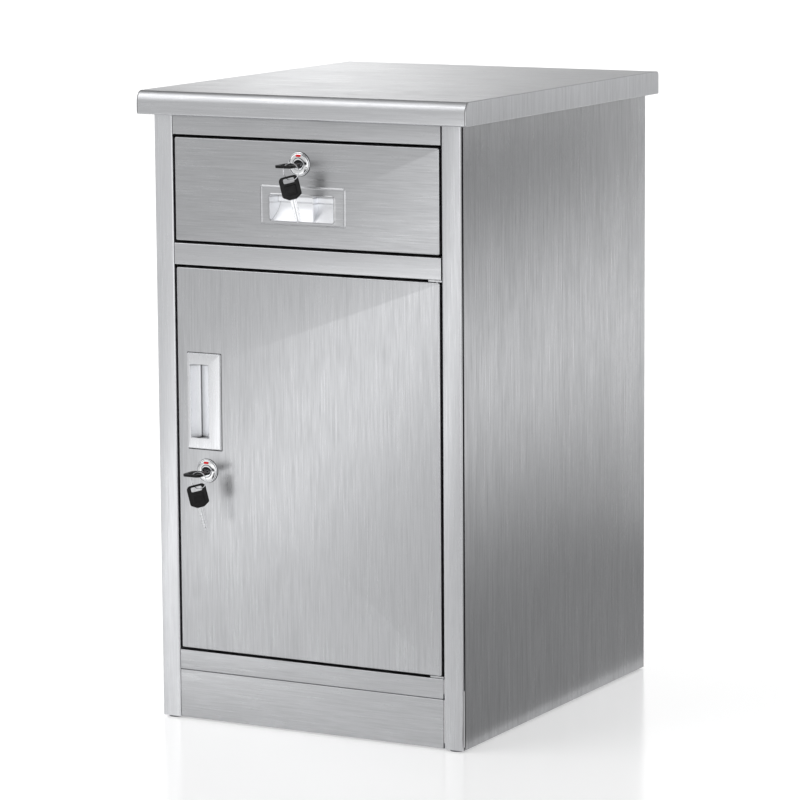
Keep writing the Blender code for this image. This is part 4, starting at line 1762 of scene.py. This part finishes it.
    def blade(self, centre: float, start: float, way: int, length: float, flat: Axis) -> Skin:
        """A key blade: its section carried from the head to the tip.

        The section is a flat bar with a sloping channel and a thin edge on each face. Its half
        width follows the cuts, which are bell-shaped dips, and narrows over the last 5 mm. Its
        thickness closes over the last 1.5 mm.

        Args:
            centre: the blade's middle, across it.
            start: where it leaves the head.
            way: 1 or -1, the direction towards its tip.
            length: its length.
            flat: the axis through its thickness.

        Returns:
            The blade.
        """
        t = np.linspace(0, 1, 81)
        along = t * length
        cut = np.zeros_like(t)
        for place, depth in ((0.34, 0.9), (0.46, 0.4), (0.58, 1.2), (0.70, 0.6), (0.82, 1.0)):
            cut += depth * MM * np.exp(-((t - place) / 0.035) ** 2)
        half = self.blade_width / 2 - cut - 0.0022 * np.clip((along - length + 0.005) / 0.005, 0, 1)
        thick = self.blade_thick / 2
        u = np.array([-1, -0.90, -0.55, -0.05, 0.04, 0.50, 0.58, 0.90, 1])
        v = np.array([0.45, 1, 1, 0.25, 1, 1, 0.62, 0.62, 0.30])
        u, v = np.concatenate([u, u[::-1]]), np.concatenate([v, -v[::-1]])
        shut = np.clip((length - along) / 0.0015, 0.25, 1)[:, None]
        grid = np.empty((len(t), len(u), 3))
        side, up = (0, 2) if flat is Axis.Z else (0, 1)
        grid[..., side] = centre + u[None] * half[:, None]
        grid[..., up] = v[None] * thick * shut
        grid[..., 1 if flat is Axis.Z else 2] = (start + way * along)[:, None]
        skin = Skin()
        skin.loft(grid)
        return skin

    def head(self, rows: list[tuple[Array, float]], flat: Axis) -> Skin:
        """A key head from its rows.

        Args:
            rows: each loop with its place through the thickness.
            flat: the axis through the thickness.

        Returns:
            The head.
        """
        skin = Skin()
        skin.grid(np.stack([lifted(loop, place, flat) for loop, place in rows]), wrap_rows=True)
        return skin

    def pad(self, centre: float, middle: float, flat: Axis, side: int) -> Skin:
        """A raised pad on a face of a key head, with a plain sunk square in it.

        Args:
            centre, middle: where the pad's middle lies across the head and along it.
            flat: the axis through the head's thickness.
            side: 1 or -1, the face that the pad stands on.

        Returns:
            The pad, as loops from its foot over its sloping edge and down into the square.
        """
        thick = self.bow_thick / 2
        rows = [(0.0, -0.0003), (0.0, 0.0), (0.0005, 0.0005), (0.0012, 0.0009), (0.0026, 0.0010),
                (0.0028, 0.0010), (0.0031, 0.0006), (0.0034, 0.0006)]
        loops = [lifted(rectangle(centre - 0.0070 + by, centre + 0.0070 - by, middle - 0.0062 + by,
                                  middle + 0.0062 - by, 0.0016 - by * 0.4, 5),
                        side * (thick + up), flat) for by, up in rows]
        skin = Skin()
        skin.loft(np.stack(loops))
        return skin

    def inserted_key(self) -> None:
        """The key in the lock, its head flat."""
        start = self.key_start
        far = start - self.bow_length
        window = (-0.0055, 0.0055, far + 0.003, far + 0.008)
        rows = self.bow_loops(0.0, start, -1, window)
        self.add("key_head", self.head(rows, Axis.Z), BLACK, "key", "black_plastic", ["key_bow"])
        for face, side in (("upper", 1), ("lower", -1)):
            pad = self.pad(0.0, start - self.pad_place, Axis.Z, side)
            self.add(f"key_{face}_pad", pad, BLACK, "key", "black_plastic")
        blade = self.blade(0.0, start + 0.0003, 1, self.inserted_length, Axis.Z)
        self.add("key_shank", blade, NICKEL, "key", "key_steel", ["key_blade"])

    def ring(self) -> None:
        """A split ring: a wire wound nearly twice round, its turns side by side."""
        wire, radius, turns, pitch = 0.0004, 0.0100, 1.92, 0.00082
        pivot = joint_place(f"{self.prefix}_ring_turn")
        t = np.linspace(0, 1, 150)
        turn = np.pi * 0.6 + 2 * np.pi * turns * t
        out = np.stack([np.cos(turn), np.zeros_like(t), np.sin(turn)], -1)
        middle = out * radius + np.stack([0 * t, pitch * (turns * t - turns / 2), 0 * t], -1)
        around = np.linspace(0, 2 * np.pi, 12, endpoint=False)
        side = np.array([0.0, 1.0, 0.0])
        grid = middle[:, None] + wire * (np.cos(around)[None, :, None] * out[:, None]
                                         + np.sin(around)[None, :, None] * side)
        skin = Skin()
        skin.loft(grid)
        matrix = Matrix.Translation(Vector(pivot) - Vector((0, 0, self.ring_drop)))
        self.add("split_ring", skin, NICKEL, "ring", "key_steel", ["key_ring"], matrix)

    def spare(self) -> None:
        """The spare key, hanging on the ring with its face turned to the right."""
        pivot = Vector(joint_place(f"{self.prefix}_spare_swing"))
        turn = Euler((0, -math.radians(self.tilt), math.radians(self.facing))).to_matrix().to_4x4()
        matrix = Matrix.Translation(pivot) @ turn
        centre, top = self.spare_centre, self.spare_top
        start = top + 0.003 - self.bow_length
        window = (centre - 0.0065, centre + 0.0065, top - 0.0052, top + 0.0007)
        rows = self.bow_loops(centre, start, 1, window)
        self.add("spare_head", self.head(rows, Axis.Y), BLACK, "spare", "black_plastic",
                 ["spare_bow"], matrix)
        for face, side in (("front", -1), ("back", 1)):
            pad = self.pad(centre, start + self.pad_place, Axis.Y, side)
            self.add(f"spare_{face}_pad", pad, BLACK, "spare", "black_plastic", (), matrix)
        blade = self.blade(centre, start - 0.0003, -1, self.spare_length, Axis.Y)
        self.add("spare_shank", blade, NICKEL, "spare", "key_steel", ["spare_blade"], matrix)

    def build(self) -> None:
        """Builds the set and dresses the nut and cam."""
        self.housing()
        self.plug()
        self.inserted_key()
        self.ring()
        self.spare()
        dress(f"{self.prefix}_lock_nut", ZINC)
        dress(f"{self.prefix}_lock_cam", ZINC)


# ---------------------------------------------------------------- inside

@dataclass
class Inside:
    """The pieces that show when the door or the drawer is open."""

    sheets: tuple[str, ...] = ("floor_panel", "divider_panel", "shelf", "drawer_bottom")
    upright: tuple[str, ...] = ("liner_left", "liner_right", "drawer_inner_front", "door_inner")
    plated: tuple[str, ...] = ("shelf_rest_left", "shelf_rest_right", "hinge_pivot_top",
                               "hinge_pivot_bottom")

    def build(self) -> None:
        """Dresses the CAD pieces."""
        for node in self.sheets:
            dress(node, INNER_STEEL)
        for node in self.upright:
            dress(node, INNER_UPRIGHT)
        for node in self.plated:
            dress(node, ZINC)
        for member in ("outer", "middle", "inner"):
            for side in ("left", "right"):
                dress(f"slide_{member}_{side}", ZINC)
        for row in ("front", "rear"):
            for side in ("left", "right"):
                dress(f"glide_{row}_{side}", GLIDE_GREY)


# ---------------------------------------------------------------- studio

OBJECT_MIDDLE = (0, 0, 0.4)


@dataclass(frozen=True)
class Softbox:
    """A sheet of soft light for the steel to mirror, lit on the object's side only.

    Its light is base + gain * exp(-(s / width) squared), where s is the distance from that line.

    Attributes:
        name: its name.
        centre: its middle.
        size: its width and height.
        faces: the axis that it faces along, towards the object.
        peak: a point on the brightest line: along the sheet and up, from its middle.
        slope: how far the brightest line rises, in degrees.
        width: how quickly the light falls off.
        base, gain: the light far from the line, and what the line adds.
    """

    name: str
    centre: tuple[float, float, float]
    size: tuple[float, float]
    faces: Axis
    peak: tuple[float, float]
    slope: float
    width: float
    base: float
    gain: float

    def build(self) -> None:
        """Makes the sheet and its light."""
        half, tall = self.size[0] / 2, self.size[1] / 2
        flat = np.array([(-half, -tall), (half, -tall), (half, tall), (-half, tall)])
        mesh = bpy.data.meshes.new(self.name)
        mesh.from_pydata(lifted(flat, 0.0, self.faces).tolist(), [], [(0, 1, 2, 3)])
        if mesh.polygons[0].normal.dot(Vector(OBJECT_MIDDLE) - Vector(self.centre)) < 0:
            mesh.flip_normals()
        thing = bpy.data.objects.new(self.name, mesh)
        bpy.context.collection.objects.link(thing)
        thing.location = self.centre
        thing.visible_camera = thing.visible_diffuse = thing.visible_shadow = False
        material = bpy.data.materials.new(self.name)
        material.use_nodes = True
        nodes = Nodes(material.node_tree)
        material.node_tree.nodes.remove(material.node_tree.nodes["Principled BSDF"])
        where = nodes.add("ShaderNodeTexCoord").outputs["Object"]
        turn = math.radians(self.slope)
        across = np.array([-math.sin(turn), math.cos(turn)])
        offset = float(across @ np.array(self.peak))
        dot = nodes.add("ShaderNodeVectorMath", {"operation": "DOT_PRODUCT"})
        nodes.feed(dot.inputs[0], where)
        nodes.feed(dot.inputs[1], tuple(lifted(across, 0.0, self.faces)))
        away = nodes.maths("SUBTRACT", dot.outputs["Value"], offset)
        away = nodes.maths("DIVIDE", away, self.width)
        squared = nodes.maths("MULTIPLY", away, away)
        bell = nodes.maths("EXPONENT", nodes.maths("MULTIPLY", squared, -1.0))
        strength = nodes.maths("ADD", nodes.maths("MULTIPLY", bell, self.gain), self.base)
        glow = nodes.add("ShaderNodeEmission", None, Strength=strength)
        clear = nodes.add("ShaderNodeBsdfTransparent")
        sided = nodes.add("ShaderNodeMixShader")
        nodes.feed(sided.inputs[0], nodes.add("ShaderNodeNewGeometry").outputs["Backfacing"])
        nodes.feed(sided.inputs[1], glow.outputs[0])
        nodes.feed(sided.inputs[2], clear.outputs[0])
        out = material.node_tree.nodes["Material Output"]
        nodes.feed(out.inputs["Surface"], sided.outputs[0])
        mesh.materials.append(material)


SOFTBOXES = (
    Softbox("front_softbox", centre=(-0.36, -0.80, 0.50), size=(0.88, 1.0), faces=Axis.Y,
            peak=(0.239, -0.089), slope=42.0, width=0.125, base=0.80, gain=0.80),
    Softbox("fill_softbox", centre=(1.32, -1.0, 0.70), size=(2.4, 1.0), faces=Axis.Y,
            peak=(0.0, 0.0), slope=90.0, width=3.00, base=0.40, gain=1.13),
    Softbox("side_softbox", centre=(0.52, 0.65, 0.335), size=(1.5, 0.67), faces=Axis.X,
            peak=(0.0, 0.0), slope=0.0, width=0.20, base=0.24, gain=1.00),
    Softbox("upper_side_softbox", centre=(0.60, 0.65, 1.00), size=(1.5, 0.64), faces=Axis.X,
            peak=(0.0, 0.0), slope=0.0, width=0.60, base=0.42, gain=0.42),
    Softbox("floor_flag", centre=(0.37, 0.45, 0.003), size=(0.30, 1.5), faces=Axis.Z,
            peak=(0.0, 0.0), slope=0.0, width=1.00, base=0.30, gain=0.10),
    Softbox("rear_wall", centre=(-4.0, 29.0, 7.0), size=(60.0, 14.0), faces=Axis.Y,
            peak=(0.0, 0.0), slope=0.0, width=3.0, base=1.13, gain=0.20),
    Softbox("top_softbox", centre=(-0.50, 1.0, 1.10), size=(1.8, 0.8), faces=Axis.Y,
            peak=(-0.20, 0.0), slope=90.0, width=0.29, base=0.58, gain=0.80),
)


@dataclass
class Studio:
    """A plain pale floor, soft lights and the camera.

    Attributes:
        aim: the point that the camera looks at.
        distance: how far away it stands.
        azimuth, elevation, roll: its direction and lean, in degrees.
        lens: its focal length in millimetres.
        sky, ceiling, zenith: the surround's light low down, in a dark band and overhead.
        ceiling_starts, zenith_starts: over which sines of the height angle each one takes over.
        surround_seen: the surround as the eye sees it.
        floor_size: the floor's width.
        floor_tone, floor_gloss: its reflectance and its roughness.
        floor_glow: its own light, as the object and as the eye see it.
    """

    aim: tuple[float, float, float] = (-0.00600, 0.00954, 0.36780)
    distance: float = 4.8667
    azimuth: float = 28.529
    elevation: float = 9.0147
    roll: float = -0.396
    lens: float = 178.28
    sky: float = 0.48
    ceiling: float = 0.14
    zenith: float = 0.62
    ceiling_starts: tuple[float, float] = (0.30, 0.46)
    zenith_starts: tuple[float, float] = (0.70, 0.85)
    surround_seen: float = 1.02
    floor_size: float = 60.0
    floor_tone: float = 0.92
    floor_gloss: float = 0.16
    floor_glow: tuple[float, float] = (0.34, 0.40)

    def camera(self) -> None:
        """The camera: aimed at the cabinet's middle from the right, a little above."""
        data = bpy.data.cameras.new("camera")
        data.lens = self.lens
        data.sensor_width = 36.0
        data.clip_end = 200.0
        turn, tip, lean = (math.radians(a) for a in (self.azimuth, self.elevation, self.roll))
        ahead = Vector((-math.sin(turn) * math.cos(tip), math.cos(turn) * math.cos(tip),
                        -math.sin(tip)))
        right = Vector((math.cos(turn), math.sin(turn), 0))
        up = right.cross(ahead)
        side = right * math.cos(lean) + up * math.sin(lean)
        top = up * math.cos(lean) - right * math.sin(lean)
        matrix = Matrix((side, top, -ahead)).transposed().to_4x4()
        matrix.translation = Vector(self.aim) - ahead * self.distance
        thing = bpy.data.objects.new("camera", data)
        bpy.context.collection.objects.link(thing)
        thing.matrix_world = matrix
        bpy.context.scene.camera = thing

    def world(self) -> None:
        """A pale surround, white to the eye and softer as a light.

        A dark band lies above the horizon, and the light overhead is pale again.
        """
        world = bpy.data.worlds.new("surround")
        world.use_nodes = True
        nodes = Nodes(world.node_tree)
        background = world.node_tree.nodes["Background"]
        background.inputs["Color"].default_value = (1.0, 1.0, 1.0, 1.0)
        seen = nodes.add("ShaderNodeLightPath").outputs["Is Camera Ray"]
        way = nodes.add("ShaderNodeSeparateXYZ")
        nodes.feed(way.inputs[0], nodes.add("ShaderNodeTexCoord").outputs["Generated"])
        height = way.outputs["Z"]
        light = nodes.spread(height, *self.ceiling_starts, self.sky, self.ceiling)
        light = nodes.spread(height, *self.zenith_starts, light, self.zenith)
        strength = nodes.spread(seen, 0.0, 1.0, light, self.surround_seen)
        nodes.feed(background.inputs["Strength"], strength)
        bpy.context.scene.world = world

    def floor(self) -> None:
        """A pale floor, slightly glossy, that the eye sees as white."""
        half = self.floor_size / 2
        mesh = bpy.data.meshes.new("floor")
        mesh.from_pydata([(-half, -half, 0), (half, -half, 0), (half, half, 0), (-half, half, 0)],
                         [], [(0, 1, 2, 3)])
        thing = bpy.data.objects.new("floor", mesh)
        bpy.context.collection.objects.link(thing)
        material = bpy.data.materials.new("pale_floor")
        material.use_nodes = True
        nodes = Nodes(material.node_tree)
        shader = material.node_tree.nodes["Principled BSDF"]
        shader.inputs["Base Color"].default_value = grey(self.floor_tone, 0.0)
        shader.inputs["Roughness"].default_value = self.floor_gloss
        shader.inputs["Emission Color"].default_value = (1, 1, 1, 1)
        seen = nodes.add("ShaderNodeLightPath").outputs["Is Camera Ray"]
        glow = nodes.spread(seen, 0.0, 1.0, *self.floor_glow)
        nodes.feed(shader.inputs["Emission Strength"], glow)
        mesh.materials.append(material)

    def light(self, name: str, place: Sequence[float], target: Sequence[float],
              size: tuple[float, float], power: float) -> None:
        """A soft rectangular light, itself unseen.

        Args:
            name: the light's name.
            place: where it stands.
            target: the point that it faces.
            size: its width and height.
            power: its power in watts.
        """
        data = bpy.data.lights.new(name, "AREA")
        data.shape = "RECTANGLE"
        data.size, data.size_y = size
        data.energy = power
        thing = bpy.data.objects.new(name, data)
        bpy.context.collection.objects.link(thing)
        thing.location = place
        thing.rotation_euler = (Vector(target) - Vector(place)).to_track_quat("-Z", "Y").to_euler()
        thing.visible_camera = False

    def build(self) -> None:
        """Sets the studio up."""
        scene = bpy.context.scene
        scene.view_settings.view_transform = "Standard"
        self.camera()
        self.world()
        self.floor()
        self.light("key", place=(-2.0, -1.9, 2.1), target=(0, 0, 0.4), size=(2.6, 2.4), power=28)
        self.light("overhead", place=(-1.05, -1.25, 2.45), target=(0, -0.2, 0.7), size=(1.8, 1.3),
                   power=5.4)
        for softbox in SOFTBOXES:
            softbox.build()


# The pulls' openings: left and right from the body's left side, low and high from the floor.
DRAWER_MOUTH = (0.158, 0.244, 0.6125, 0.6425)
DOOR_MOUTH = (0.046, 0.072, 0.3465, 0.4355)


def offset_mouth(limits: tuple[float, float, float, float], left: float) -> tuple[float, ...]:
    """A pull's opening measured from the body's left side, put into the row frame."""
    return (limits[0] + left, limits[1] + left, limits[2], limits[3])


def main() -> None:
    """Builds the pieces in order."""
    logging.basicConfig(level=logging.INFO, format="%(name)s %(message)s")
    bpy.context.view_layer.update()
    Studio().build()
    Worktop().build()
    Carcass().build()
    left = float(Limits.of("side_panel_left").low[0])
    drawer_mouth = offset_mouth(DRAWER_MOUTH, left)
    door_mouth = offset_mouth(DOOR_MOUTH, left)
    FoldedFront("drawer_front", "drawer", DRAWER_STEEL, drawer_mouth).build()
    FoldedFront("door_outer", "door", DOOR_STEEL, door_mouth).build()
    Pull("drawer_pull", "drawer", drawer_mouth, PullShape.SCOOP, PULL_STEEL, "polished_chrome",
         corner=0.003).build()
    Pull("door_pull", "door", door_mouth, PullShape.VALLEY, PLATE_STEEL, "satin_chrome",
         corner=0.0010).build()
    for prefix in ("drawer", "door"):
        LockSet(prefix).build()
    DrawerBox().build()
    Inside().build()


if __name__ == "__main__":
    main()
